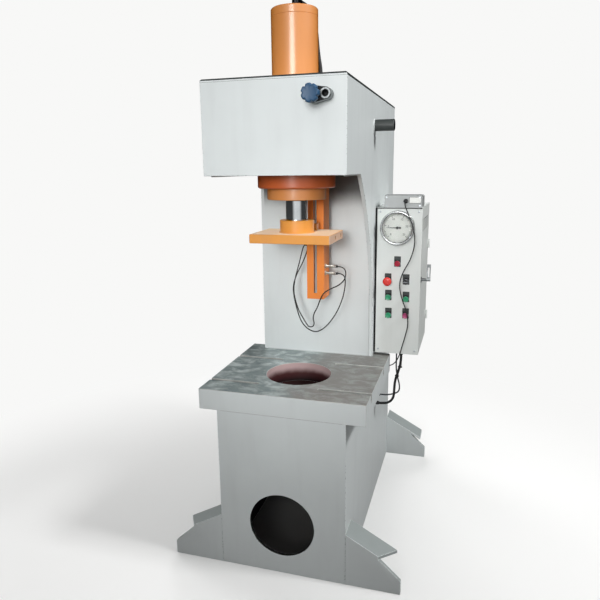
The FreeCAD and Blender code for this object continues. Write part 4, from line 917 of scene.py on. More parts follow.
class PRESS_OT_frame(Operator):
    """Dress the C-frame's plates, its lifting bar, rear cover and welds"""

    bl_idname = "press.frame"
    bl_label = "Welded frame"

    def execute(self, context):
        painted = (frame_enamel, worn_edge)
        # lined plates also take bare mill scale, darkened as painted shade inside the base
        lined = (*painted, mill_scale_and_shade)
        below = SLAB_UNDERSIDE - 0.001
        head_top = 1.165

        def inside_base(centre, normal):
            """Bare mill scale, darkened as painted shade, on the faces that look into the base."""
            inward = normal.x * centre.x < -0.1 and abs(centre.x) < CHEEK_INSIDE + 0.0005
            facing = abs(normal.y) > 0.9 and 0.2 < abs(centre.y) < 0.26
            return 2 if centre.z < below and (inward or facing) else 0

        def cheek(middle):
            """A side plate's free edges: its outline outside, and the throat's edge inside."""
            behind_front = middle.y < FRAME_FRONT + 0.001 and middle.z > HEAD_FLOOR + 0.001
            in_throat = -0.08 < middle.z < HEAD_FLOOR - 0.002
            outside = abs(middle.x) > CHEEK_OUTSIDE - 0.0005
            return middle.z <= head_top and not behind_front and (outside or in_throat)

        def left_cheek(middle):
            """The left plate's inner edges lie in shade, so only its outline is broken."""
            return cheek(middle) and middle.x < -CHEEK_OUTSIDE + 0.0005

        def inside_back(centre, normal):
            """Bare mill scale, darkened as painted shade, on the throat plate where it closes the base's
            inside.
            """
            return 2 if centre.z < below and centre.y < THROAT_WALL + 0.001 else 0

        def inside_front(centre, normal):
            """Bare mill scale, darkened as painted shade, on the front plate's inner face."""
            return 2 if centre.y > FRAME_FRONT + 0.001 else 0

        def opening_edge(middle):
            """The edges of a plate's hole or opening, clear of its welded borders."""
            return abs(middle.x) < 0.2

        def below_table(middle):
            """The rim of the base's round hole."""
            return opening_edge(middle) and middle.z < -0.2

        def bore_rim(middle):
            """The rim of the cylinder's hole in the head's floor."""
            return opening_edge(middle) and abs(middle.y) < 0.2

        plate("left_side_plate", "side_plate_left", left_cheek, lined, inside_base)
        plate("right_side_plate", "side_plate_right", cheek, lined, inside_base)
        plate("head_front", "head_front_plate", lambda at: at.y < -0.291 and at.z < head_top, painted)
        self.head_top()
        plate("head_floor", "head_bottom_plate", bore_rim, painted)
        plate("throat_wall", "throat_plate", lambda at: False, lined, inside_back)
        plate("base_front", "base_front_plate", below_table, lined, inside_front)
        plate("rear_wall", "rear_plate", opening_edge, painted)

        mesh = cad_copy("lifting_bar")
        coat_faces(mesh, lambda centre, normal: 1 if abs(normal.x) > 0.9 and abs(centre.x) > 0.35 else 0)
        coats = [dark_edge_paint, turned_steel]
        piece("lifting_bar_ends", mesh, coats, "frame", "lifting_bar", "dark_steel", edge=0.002, segments=3)
        self.rear_cover()
        self.welds()
        return {"FINISHED"}

    def head_top(self):
        """Top plate with a bevelled upper border; the border and the side edges are dark."""
        mesh = cad_copy("head_top_plate")
        low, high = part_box("head_top_plate")
        near = 1e-4
        border = []
        for line in mesh.edges:
            middle = middle_of(line)
            outer = abs(abs(middle.x) - high[0]) < near or abs(middle.y - low[1]) < near
            level = all(abs(vert.co.z - high[2]) < near for vert in line.verts)
            if level and outer and line.calc_face_angle(0) > 1:
                border.append(line)
        coat_faces(mesh, lambda centre, normal: 2 if abs(normal.x) > 0.9 else 0)
        made = bmesh.ops.bevel(mesh, geom=border, offset=0.0055, segments=1, affect="EDGES", material=2)
        for face in made["faces"]:
            face.material_index = 2
        coats = [frame_enamel, worn_edge, dark_edge_paint]
        piece("head_top", mesh, coats, "frame", "head_top_plate", "frame_paint", edge=0.0007, edge_coat=2)

    def rear_cover(self):
        """Louvred service cover with pressed hoods and pan-head screws."""
        mesh = cad_copy("rear_cover")
        low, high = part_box("rear_cover")
        middle = (low[2] + high[2]) / 2
        inset, column, pitch, half_width = 0.014, 0.085, 0.024, 0.066
        hood = [(-0.0001, -0.0055), (0.0044, -0.004), (0.0044, -0.002), (-0.0001, 0.0065)]
        for x in (-column, column):
            for row in range(-4, 5):
                outline = [(COVER_FACE + out, middle + row * pitch + rise) for out, rise in hood]
                prism(mesh, outline, "right", x - half_width, x + half_width)
        screw = [(0.0, 0.0), (0.0062, 0.0), (0.0062, -0.0015), (0.0045, -0.0032), (0.0, -0.0036)]
        for x in (low[0] + inset, 0.0, high[0] - inset):
            for z in (low[2] + inset, middle, high[2] - inset):
                if x or z != middle:
                    turned(mesh, (x, COVER_FACE, z), "front", screw, coat=1, steps=20)
        coats = [cabinet_powder_coat, zinc_plate]
        piece("service_cover", mesh, coats, "frame", "rear_cover", "frame_paint", edge=0.0007)

    def welds(self):
        """Fillet welds where the frame's plates meet, in ripples."""
        leg = sizes().weld_leg
        mesh = bmesh.new()
        inner, outer = CHEEK_INSIDE, CHEEK_OUTSIDE
        back = THROAT_WALL
        front = FRAME_FRONT + 0.02
        bar_y, bar_z, bar_radius = 0.275, 1.041, 0.0255

        def bead(start, end, leg=leg):
            """A fillet weld along a straight seam."""
            swept(mesh, [start, end], leg, sides=7, ripple=0.07)

        for side in (-1, 1):
            # slab to side plates, below the table's overhang
            bead((side * outer, front, SLAB_UNDERSIDE), (side * outer, back, SLAB_UNDERSIDE))
            # head floor inside the cheeks
            bead((side * inner, front, HEAD_FLOOR), (side * inner, back - 0.004, HEAD_FLOOR))
            # lifting bar
            ring = circle((side * outer, bar_y, bar_z), bar_radius, 40, "right")
            swept(mesh, ring, leg * 0.8, 7, ripple=0.07, closed=True)
        # throat wall to the right cheek: its left border is ground flush
        bead((inner, back, 0.002), (inner, back, 0.84))
        bead((-inner, back, HEAD_FLOOR), (inner, back, HEAD_FLOOR))
        bead((-inner, back, 0.001), (inner, back, 0.001), leg * 0.8)
        piece("frame_welds", mesh, [weld_steel], "frame", None, "frame_paint", crease=60)


class PRESS_OT_feet(Operator):
    """Dress the front and rear feet and weld them to the base"""

    bl_idname = "press.feet"
    bl_label = "Feet"

    def execute(self, context):
        welds = bmesh.new()
        for name, node in (("front_foot_plates", "front_feet"), ("rear_foot_plates", "rear_feet")):
            low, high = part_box(node)
            mesh = cad_copy(node)
            front_web = low[1] + 0.018

            def choose(centre, normal):
                """The sloping flanges and all that lies behind the web stand in a darker coat than it, as
                painted shade.
                """
                sloping = abs(normal.x) > 0.3 and normal.z > 0.3
                return 2 if sloping or centre.y > front_web else 0

            coat_faces(mesh, choose)
            coats = [frame_enamel, worn_edge, shaded_foot_enamel]
            piece(name, mesh, coats, "frame", node, "frame_paint", edge=0.0018, edge_coat=1, segments=3)
            web_back, sole_top = low[1] + 0.016, FLOOR + 0.013
            for x in (-CHEEK_OUTSIDE, CHEEK_OUTSIDE):
                seam = [(x, web_back, sole_top), (x, web_back, high[2] - 0.005)]
                swept(welds, seam, sizes().weld_leg, 7, ripple=0.07)
        piece("foot_welds", welds, [weld_steel], "frame", None, "frame_paint", crease=60)
        return {"FINISHED"}


class PRESS_OT_table(Operator):
    """Dress the ground table slab, its T-slots and the chute below the die hole"""

    bl_idname = "press.table"
    bl_label = "Table and chute"

    def execute(self, context):
        mesh = cad_copy("table_slab")
        die_hole, slot_line, half_slot, slot_floor, slot_end = 0.1415, 0.16, 0.0155, -0.036, 0.3439

        def choose(centre, normal):
            """Ground on top, primer in the die hole, milled in the T-slots, and enamel round the border."""
            if normal.z > 0.9 and centre.z > -0.001:
                return 1
            if math.hypot(centre.x, centre.y) < die_hole:
                return 3
            beside_line = abs(abs(centre.y) - slot_line) < half_slot
            return 2 if beside_line and centre.z > slot_floor and abs(centre.x) < slot_end else 0

        coat_faces(mesh, choose)
        coats = [frame_enamel, table_steel, milled_steel, rubbed_primer, worn_edge]
        piece(
            "ground_table", mesh, coats, "frame", "table_slab", "machined_steel", edge=0.0012, edge_coat=2,
            segments=3,
        )
        mesh = bmesh.new()
        inside, outside = 0.142, 0.15
        bottom, top = heights("chute_ring")
        wall = [(outside, bottom), (outside, top), (inside, top), (inside, bottom), (outside, bottom)]
        turned(mesh, RAM_AXIS, "up", wall, steps=96)
        seam = circle((0, 0, top - 0.0005), outside + 0.0015, steps=90)
        swept(mesh, seam, 0.0035, 7, ripple=0.07, closed=True)
        coats = [red_oxide_primer, worn_edge]
        piece("scrap_chute", mesh, coats, "frame", "chute_ring", "primer_paint", edge=0.001)
        return {"FINISHED"}


# ---- cylinder and ram ----
class PRESS_OT_cylinder(Operator):
    """Turn the cylinder's tube, cap, mounting flange, gland, bush and screws"""

    bl_idname = "press.cylinder"
    bl_label = "Cylinder"

    def execute(self, context):
        edge = sizes().turned_edge
        outside, bore = 0.09, 0.07
        low, high = heights("cylinder_barrel")
        chamfer = (outside - 0.0007, high)
        tube = [(outside, low), (outside, high - 0.0008), chamfer, (bore, high), (bore, low), (outside, low)]
        mesh = bmesh.new()
        turned(mesh, RAM_AXIS, "up", tube, steps=128)
        seam = circle((0, 0, heights("head_top_plate")[1] + 0.0002), outside + 0.0005, steps=100)
        swept(mesh, seam, 0.0036, 8, ripple=0.07, closed=True)
        piece("cylinder_tube", mesh, [cylinder_enamel], "frame", "cylinder_barrel", "orange_paint")
        low, high = heights("cylinder_end_cap")
        cap = [
            (0.0, low), (outside - 0.0015, low), (outside, low + 0.0015), (outside, high - 0.004),
            (outside - 0.004, high), (0.0, high),
        ]
        turned_piece(
            "cylinder_cap", RAM_AXIS, "up", cap, 128, [cylinder_enamel], "frame", "cylinder_end_cap",
            "orange_paint", edge=edge * 1.6, segments=4,
        )
        low, high = heights("mounting_flange")
        rim, bore = 0.156, 0.0903
        flange = [
            (bore, high), (rim, high), (rim, low + 0.005), (rim - 0.005, low), (bore, low), (bore, high)
        ]
        turned_piece(
            "cylinder_flange", RAM_AXIS, "up", flange, 128, [flange_enamel, worn_edge], "frame",
            "mounting_flange", "red_orange_paint", edge=edge, segments=3,
        )
        self.gland()
        low, high = heights("rod_bush")
        rim, bore = 0.05205, 0.04505
        bush = [(bore, low + 0.002), (rim, low), (rim, high), (bore, high), (bore, low + 0.002)]
        turned_piece(
            "rod_guide_bush", RAM_AXIS, "up", bush, 96, [gunmetal_bronze], "frame", "rod_bush", "bronze",
            edge=edge * 0.6,
        )
        self.screws()
        return {"FINISHED"}

    def gland(self):
        """Gland ring with its screw pockets, a bare steel bore and a rubber wiper."""
        mesh = cad_copy("gland_flange")
        bore = 0.054
        coat_faces(mesh, lambda centre, normal: 1 if math.hypot(centre.x, centre.y) < bore else 0)
        wiper = [
            (0.0455, 0.7455), (0.0455, 0.7415), (0.0475, 0.7395), (0.0515, 0.741), (0.0515, 0.7455),
            (0.0455, 0.7455),
        ]
        turned(mesh, RAM_AXIS, "up", wiper, coat=2, steps=96)
        coats = [cylinder_enamel, turned_steel, black_rubber_and_shade]
        piece(
            "cylinder_gland", mesh, coats, "frame", "gland_flange", "yellow_orange_paint", edge=0.0009,
            segments=3,
        )

    def screws(self):
        """Socket cap screws: knurled heads down in the gland, and heads up with shanks in the flange."""
        mesh = bmesh.new()
        knurled = [
            (0.0, 0.008), (0.0062, 0.008), (0.0062, 0.0), (0.0108, 0.0), (0.012, 0.0012), (0.012, 0.016),
            (0.0, 0.016),
        ]
        gland_ring, gland_face = 0.095, heights("gland_flange")[0]
        for turn in round_the_ring(8):
            place = (*on_circle(gland_ring, turn), gland_face)
            turned(mesh, place, "up", knurled, steps=36, shape=lambda at: 1.0 + 0.008 * math.cos(18 * at))
        head = [
            (0.0, 0.0), (0.012, 0.0), (0.012, 0.0148), (0.0108, 0.016), (0.007, 0.016), (0.007, 0.008),
            (0.0, 0.008),
        ]
        shank = [(0.0, 0.0), (0.008, 0.0), (0.008, -0.055), (0.0, -0.055)]
        flange_ring, head_floor_top = 0.136, 0.872
        for turn in round_the_ring(8, 0.5):
            place = (*on_circle(flange_ring, turn), head_floor_top)
            turned(mesh, place, "up", head, steps=28)
            turned(mesh, place, "up", shank, steps=20)
        piece("flange_cap_screws", mesh, [black_oxide], "frame", "flange_bolts", "dark_steel", edge=0.0005)


class PRESS_OT_ram(Operator):
    """Turn the chromed rod and dress the hub, the platen and the guide shoe"""

    bl_idname = "press.ram"
    bl_label = "Ram and platen"

    def execute(self, context):
        low, high = heights("piston_rod")
        radius = 0.045
        rod = [(0.0, low), (radius, low), (radius, high), (0.0, high)]
        turned_piece(
            "chromed_ram", RAM_AXIS, "up", rod, 128, [hard_chrome], "ram", "piston_rod", "chromed_rod"
        )
        low, high = heights("piston")
        radius, groove_floor, half_groove = 0.06995, 0.068, 0.002
        body = [(0.0, low), (radius, low)]
        for groove in (0.02, 0.036, 0.052):
            start, end = low + groove - half_groove, low + groove + half_groove
            body += [(radius, start), (groove_floor, start), (groove_floor, end), (radius, end)]
        body += [(radius, high), (0.0, high)]
        turned_piece(
            "grooved_piston", RAM_AXIS, "up", body, 96, [turned_steel], "ram", "piston", "machined_steel",
            edge=0.0006,
        )
        mesh = bmesh.new()
        low, high = heights("ram_hub")
        rim, bore = 0.07, 0.0453
        hub = [(bore, low), (rim, low), (rim, high - 0.002), (rim - 0.002, high), (bore, high), (bore, low)]
        turned(mesh, RAM_AXIS, "up", hub, steps=128)
        seam = circle((0, 0, low + 0.0002), rim + 0.0005, steps=80)
        swept(mesh, seam, 0.0034, 8, ripple=0.06, closed=True)
        coats = [platen_enamel]
        piece("ram_socket", mesh, coats, "ram", "ram_hub", "yellow_orange_paint", edge=0.001, segments=3)
        self.platen_block()
        mesh = cad_copy("guide_shoe")
        platen_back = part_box("platen")[1][1]
        coat_faces(mesh, lambda centre, normal: 1 if centre.y > platen_back + 0.0005 else 0)
        coats = [platen_enamel, milled_steel]
        piece("guide_block", mesh, coats, "ram", "guide_shoe", "yellow_orange_paint", edge=0.0008)
        return {"FINISHED"}

    def platen_block(self):
        """Platen: enamelled front, dusty top, thin pale primer on its right, bare underside and bore."""
        mesh = cad_copy("platen")
        punch_bore, hole_level, half_band = 0.0255, 0.594, 0.014

        def choose(centre, normal):
            """Bare steel below and in the bore, thin primer on the right, dust on top, enamel elsewhere."""
            upright = abs(normal.z) < 0.5
            bore_wall = math.hypot(centre.x, centre.y) < punch_bore and upright
            if bore_wall or normal.z < -0.9:
                return 3
            if centre.x > 0.14 and upright and abs(centre.z - hole_level) < half_band:
                return 2
            return 4 if normal.z > 0.9 else 0

        coat_faces(mesh, choose)
        lip = [(0.0061, -0.0005), (0.0077, -0.0005), (0.0077, 0.0), (0.0061, 0.0)]
        for y in (-0.015, 0.08):
            turned(mesh, (0.165, y, hole_level), "right", lip, coat=1, steps=32)
        coats = [platen_enamel, dark_edge_paint, platen_side, turned_steel, dusty_platen]
        piece("ram_platen", mesh, coats, "ram", "platen", "yellow_orange_paint", edge=0.0012, segments=3)


class PRESS_OT_guide(Operator):
    """Dress the slotted guide rail and the two proximity sensors with their nuts"""

    bl_idname = "press.guide"
    bl_label = "Guide rail and sensors"

    def execute(self, context):
        mesh = cad_copy("guide_rail")
        left, middle, right = 0.0, 0.038, 0.076
        half_slot, slot_front, slot_back = 0.0081, 0.1425, 0.1515

        def choose(centre, normal):
            """Bare steel on the slot's walls."""
            return 1 if abs(centre.x - middle) < half_slot and slot_front < centre.y < slot_back else 0

        coat_faces(mesh, choose)
        for seam in (
            [(left, 0.164, 0.788), (left, 0.24, 0.788)],
            [(right, 0.164, 0.788), (right, 0.24, 0.788)],
            [(left, 0.1605, 0.8415), (right, 0.1605, 0.8415)],
        ):
            swept(mesh, seam, 0.0035, 7, ripple=0.07)
        coats = [rail_enamel, turned_steel]
        piece(
            "slotted_rail", mesh, coats, "frame", "guide_rail", "yellow_orange_paint", edge=0.0013, segments=3
        )
        self.sensors()
        return {"FINISHED"}

    def sensors(self):
        """Two threaded barrels with black ends, each with a lock nut and a washer."""
        pitch = sizes().thread_pitch
        crest, root = 0.006, 0.00535
        barrel = [(0.0, 0.062), (0.0055, 0.062), (crest, 0.0635)]
        reach = 0.0645
        while reach < 0.116:
            barrel += [(crest, reach), (root, reach + pitch / 2)]
            reach += pitch
        barrel += [(crest, 0.117), (crest, 0.124, 1), (0.0058, 0.1245, 1), (0.0046, 0.134, 1), (0.0, 0.134)]
        washer = [(0.00605, 0.076), (0.0115, 0.076), (0.0115, 0.0771), (0.00605, 0.0771), (0.00605, 0.076)]
        barrels = bmesh.new()
        nuts = bmesh.new()
        for level in (0.446, 0.415):
            axis = (0.0, 0.168, level)
            turned(barrels, axis, "right", barrel, steps=32)
            nut(nuts, axis, "right", 0.0098, 0.0771, 0.0811)
            turned(nuts, axis, "right", washer, steps=40)
        coats = [nickel_plate, black_abs]
        piece("threaded_sensors", barrels, coats, "frame", "proximity_sensors", "nickel_brass", crease=50)
        piece("sensor_lock_nuts", nuts, [nickel_plate], "frame", "sensor_nuts", "nickel_brass", edge=0.0004)


# ---- valve ----
class PRESS_OT_valve(Operator):
    """Dress the pressure valve on the head's front and its lobed handwheel"""

    bl_idname = "press.valve"
    bl_label = "Valve and handwheel"

    def execute(self, context):
        mesh = cad_copy("valve_body")
        port_x, port_z = 0.202, 1.107
        stem_tip, hidden_tip = -0.3775, -0.37
        # painted shade: the faces of the port's bore take the black rubber coat so the hole reads dark
        coat_faces(
            mesh, lambda centre, normal: 1 if math.hypot(centre.x - port_x, centre.z - port_z) < 0.0105 else 0
        )
        # the stem ends inside the wheel's hub, which is closed in front
        for vert in mesh.verts:
            if vert.co.y < stem_tip:
                vert.co.y = hidden_tip
        lip = [(0.0105, 0.0), (0.0185, 0.0), (0.0185, 0.0022), (0.017, 0.003), (0.012, 0.003), (0.0105, 0.0)]
        turned(mesh, (port_x, -0.332, port_z), "front", lip, steps=64)
        coats = [cast_zinc, black_rubber_and_shade]
        piece("pressure_valve", mesh, coats, "frame", "valve_body", "zinc_plate", edge=0.0008, segments=3)
        lobes = sizes().wheel_lobes

        def lobe(turn):
            """The wheel's reach by angle, with a hollow between each two lobes."""
            return 1.0 - 0.16 * max(0.0, -math.cos(lobes * turn)) ** 2.0

        rim = [
            (0.0083, 0.0), (0.024, 0.0), (0.029, 0.0015), (0.031, 0.005), (0.031, 0.019), (0.0295, 0.0235),
            (0.0265, 0.0258), (0.0245, 0.026), (0.0235, 0.0254), (0.0225, 0.0252), (0.0, 0.0252),
        ]
        mesh = bmesh.new()
        seat = (0.16, -0.352, 1.105)
        turned(mesh, seat, "front", rim, steps=168, shape=lobe)
        coats = [wheel_nylon, black_abs]
        piece("lobed_handwheel", mesh, coats, "handwheel", "valve_handwheel", "blue_plastic", crease=50)
        return {"FINISHED"}


# ---- cabinet ----
class PRESS_OT_cabinet(Operator):
    """Dress the control cabinet, its door, latch, the dark strips of painted shade in its gaps, and terminal
    box
    """

    bl_idname = "press.cabinet"
    bl_label = "Control cabinet"

    def execute(self, context):
        mesh = cad_copy("cabinet_box")
        screw = [(0.0, 0.0), (0.0046, 0.0), (0.0042, 0.0018), (0.0025, 0.0026), (0.0, 0.0028)]
        for z in (0.03, 0.673):
            for x in (0.2895, 0.46):
                turned(mesh, (x, CABINET_FRONT, z), "front", screw, coat=1, steps=24)
        coats = [cabinet_powder_coat, zinc_plate]
        bend = sizes().sheet_edge * 0.55
        piece("cabinet_shell", mesh, coats, "frame", "cabinet_box", "cabinet_paint", edge=bend, segments=3)
        self.gap_shade_strips()
        coats = [cabinet_powder_coat, worn_edge]
        piece(
            "cabinet_side_door", cad_copy("cabinet_door"), coats, "door", "cabinet_door", "cabinet_paint",
            edge=0.0009, segments=3,
        )
        self.latch()
        self.small_box()
        return {"FINISHED"}

    def gap_shade_strips(self):
        """Black strips as painted shade in the gap between cabinet and frame, and along the front's left and
        top.
        """
        mesh = bmesh.new()
        left, right, low, high, rear = 0.2677, 0.2734, 0.0135, 0.6895, 0.7385
        for start, end in (
            ((left, 0.3396, low), (0.2762, 0.3409, high)),
            ((left, 0.3396, low), (right, 0.3505, high)),
            ((0.2762, 0.3396, 0.6865), (0.474, 0.3409, 0.6905)),
            ((left, 0.3425, 0.6835), (right, rear, high)),
            ((left, 0.3425, low), (right, rear, 0.0195)),
            ((left, 0.731, low), (right, rear, high)),
        ):
            block(mesh, start, end)
        piece("cabinet_gap_shade", mesh, [black_rubber_and_shade], "frame", None, "black_plastic", edge=0.0008)

    def latch(self):
        """Die-cast quarter-turn lever with its zinc-plated escutcheon and cam."""
        mesh = cad_copy("door_latch")
        door_inside = 0.473
        spindle = (0.0, 0.367, 0.365)
        coat_faces(mesh, lambda centre, normal: 1 if centre.x < door_inside else 0)
        ring = [
            (0.0063, 0.4762), (0.014, 0.4762), (0.0135, 0.4785), (0.0105, 0.4795), (0.0063, 0.4795),
            (0.0063, 0.4762),
        ]
        turned(mesh, spindle, "right", ring, steps=48)
        coats = [cast_zinc, zinc_plate]
        piece("latch_lever", mesh, coats, "latch", "door_latch", "zinc_plate", edge=0.0018, segments=4)

    def small_box(self):
        """Terminal box on the cabinet, with lid screws, a blank framed label and the seal of its lid."""
        mesh = cad_copy("terminal_box")
        screw = [(0.0, -0.0004), (0.0035, -0.0004), (0.0035, 0.0008), (0.0, 0.0008)]
        for z in (0.7, 0.736):
            for x in (0.316, 0.462):
                turned(mesh, (x, CABINET_FRONT, z), "front", screw, coat=1, steps=20)
        # the label's black frame, and the label in it
        block(mesh, (0.4155, 0.3406, 0.7105), (0.4675, 0.3412, 0.7375), 3)
        block(mesh, (0.4168, 0.3403, 0.7118), (0.4662, 0.3412, 0.7362), 2)
        coats = [grey_abs, zinc_plate, label_film, black_abs]
        piece(
            "terminal_housing", mesh, coats, "frame", "terminal_box", "grey_plastic", edge=0.0015, segments=4
        )
        mesh = bmesh.new()
        seal = [(x, 0.3645, z) for x, z in rounded(0.1674, 0.0544, 0.009, (0.389, 0.718))]
        swept(mesh, seal, 0.0019, 8, closed=True)
        piece("terminal_seal", mesh, [black_rubber_and_shade], "frame", None, "black_plastic")


# ---- gauge ----
GAUGE_AXIS = (0.37, 0.0, 0.604)
CASE_BACK = -0.341
DIAL_BACK = -0.32
DIAL_RADIUS = 0.0687
DIAL_PRINT = (-0.3182, -0.31785)
SCALE_RADIUS = 0.0595


def on_dial(part, reach, side=0.0):
    """A place on the dial's face at part of its 270 degree scale; side is measured across the radius."""
    angle = math.radians(225 - 270 * part)
    across, rise = math.cos(angle), math.sin(angle)
    return (GAUGE_AXIS[0] + reach * across - side * rise, GAUGE_AXIS[2] + reach * rise + side * across)


class PRESS_OT_gauge(Operator):
    """Turn the gauge's case and glass, print its dial and hang its pointer"""

    bl_idname = "press.gauge"
    bl_label = "Pressure gauge"

    def execute(self, context):
        mesh = bmesh.new()
        # the case's groove, its rolled bezel and its hollow, from the arbor's hole outwards and back
        hole, rim, groove, seat, bezel = 0.0021, 0.075, 0.0742, 0.069, 0.064
        case = [
            (hole, CASE_BACK), (rim, CASE_BACK), (rim, -0.318), (groove, -0.3172), (groove, -0.3158),
            (rim, -0.315), (rim, -0.2995), (0.0735, -0.2968), (0.0712, -0.296), (0.0675, -0.2968),
            (bezel, -0.2992), (bezel, -0.3), (seat, -0.3), (seat, DIAL_BACK), (hole, DIAL_BACK),
            (hole, CASE_BACK),
        ]
        turned(mesh, GAUGE_AXIS, "front", case, steps=128)
        screw = [(0.0, -0.2985), (0.0042, -0.2985), (0.0042, -0.2966), (0.0034, -0.2962), (0.0, -0.2962)]
        turned(mesh, (GAUGE_AXIS[0] + 0.058, 0.0, GAUGE_AXIS[2] - 0.039), "front", screw, coat=1, steps=28)
        coats = [stainless_steel, zinc_plate]
        piece("gauge_housing", mesh, coats, "frame", "gauge_case", "stainless", crease=40)
        pane = [(0.0, -0.303), (DIAL_RADIUS, -0.303), (DIAL_RADIUS, -0.3004), (0.0, -0.3001)]
        turned_piece(
            "gauge_window", GAUGE_AXIS, "front", pane, 96, [instrument_glass], "frame", "gauge_glass",
            "clear_glass", edge=0.0003,
        )
        self.dial()
        self.pointer()
        return {"FINISHED"}

    def dial(self):
        """White dial with a printed scale from 0 to 25 through 270 degrees."""
        mesh = bmesh.new()
        hole = 0.0023
        plate = [
            (hole, DIAL_BACK), (DIAL_RADIUS, DIAL_BACK), (DIAL_RADIUS, -0.3181), (hole, -0.318),
            (hole, DIAL_BACK),
        ]
        turned(mesh, GAUGE_AXIS, "front", plate, steps=96)
        count = sizes().gauge_ticks
        for tick in range(count + 1):
            inner, half = 0.0555, 0.0004
            if tick % 10 == 0:
                inner, half = 0.0505, 0.0009
            elif tick % 5 == 0:
                inner, half = 0.053, 0.0006
            corners = ((inner, -half), (SCALE_RADIUS, -half), (SCALE_RADIUS, half), (inner, half))
            prism(mesh, [on_dial(tick / count, *corner) for corner in corners], "front", *DIAL_PRINT, 1)
        steps, outer = 90, SCALE_RADIUS + 0.0008
        for step in range(steps):
            first, second = step / steps, (step + 1) / steps
            corners = ((first, SCALE_RADIUS), (first, outer), (second, outer), (second, SCALE_RADIUS))
            prism(mesh, [on_dial(*corner) for corner in corners], "front", *DIAL_PRINT, 1)
        for number in range(6):
            self.numeral(mesh, str(number * 5), on_dial(number / 5, 0.0415), 0.0125)
        piece("gauge_dial_plate", mesh, [dial_enamel, print_ink], "frame", "gauge_dial", "white_enamel")

    def numeral(self, mesh, text, centre, height):
        """A printed number on the dial's face, centred on a point."""
        curve = bpy.data.curves.new("numeral", "FONT")
        curve.body = text
        curve.size = height
        curve.align_x = "CENTER"
        curve.align_y = "CENTER"
        letters = bpy.data.objects.new("numeral", curve)
        shape = bpy.data.meshes.new_from_object(letters)
        place = Matrix.Translation((centre[0], -DIAL_PRINT[1], centre[1]))
        shape.transform(place @ Matrix.Rotation(math.pi / 2, 4, "X"))
        made_before = len(mesh.faces)
        mesh.from_mesh(shape)
        mesh.faces.ensure_lookup_table()
        for face in mesh.faces[made_before:]:
            face.material_index = 1
        bpy.data.objects.remove(letters)
        bpy.data.curves.remove(curve)
        bpy.data.meshes.remove(shape)

    def pointer(self):
        """Black hand with a counterweight, a boss and its arbor."""
        mesh = bmesh.new()
        x, _, z = GAUGE_AXIS
        half = [(0.01596, 0.0042), (0.00924, 0.0046), (0.00504, 0.0021), (-0.034, 0.0012), (-0.0495, 0.0004)]
        outline = [(x + along, z - out) for along, out in half]
        outline += [(x + along, z + out) for along, out in reversed(half)]
        prism(mesh, outline, "front", -0.3139, -0.3127)
        boss = [(0.0, -0.3141), (0.0062, -0.3141), (0.0062, -0.3122), (0.005, -0.3112), (0.0, -0.311)]
        turned(mesh, GAUGE_AXIS, "front", boss, steps=40)
        arbor = [(0.0, -0.3235), (0.002, -0.3235), (0.002, -0.3125), (0.0, -0.3125)]
        turned(mesh, GAUGE_AXIS, "front", arbor, coat=1, steps=24)
        coats = [print_ink, zinc_plate]
        piece("gauge_hand", mesh, coats, "pointer", "gauge_pointer", "black_enamel", edge=0.0002)


# ---- controls ----
# each control's axis on the cabinet's front, to the right of the ram and up from the table's top
CONTROLS = {
    "lamp": (0.371, 0.0, 0.44),
    "stop": (0.33, 0.0, 0.36),
    "selector": (0.412, 0.0, 0.359),
    "start_left": (0.333, 0.0, 0.283),
    "start_right": (0.414, 0.0, 0.278),
    "jog_left": (0.335, 0.0, 0.198),
    "jog_right": (0.414, 0.0, 0.2),
}
LEGEND_FACE = -0.3395
# every button's stem, from its back to the shoulder inside its collar
STEM = [(0.0, -0.354), (0.0095, -0.354), (0.0095, -0.3325)]


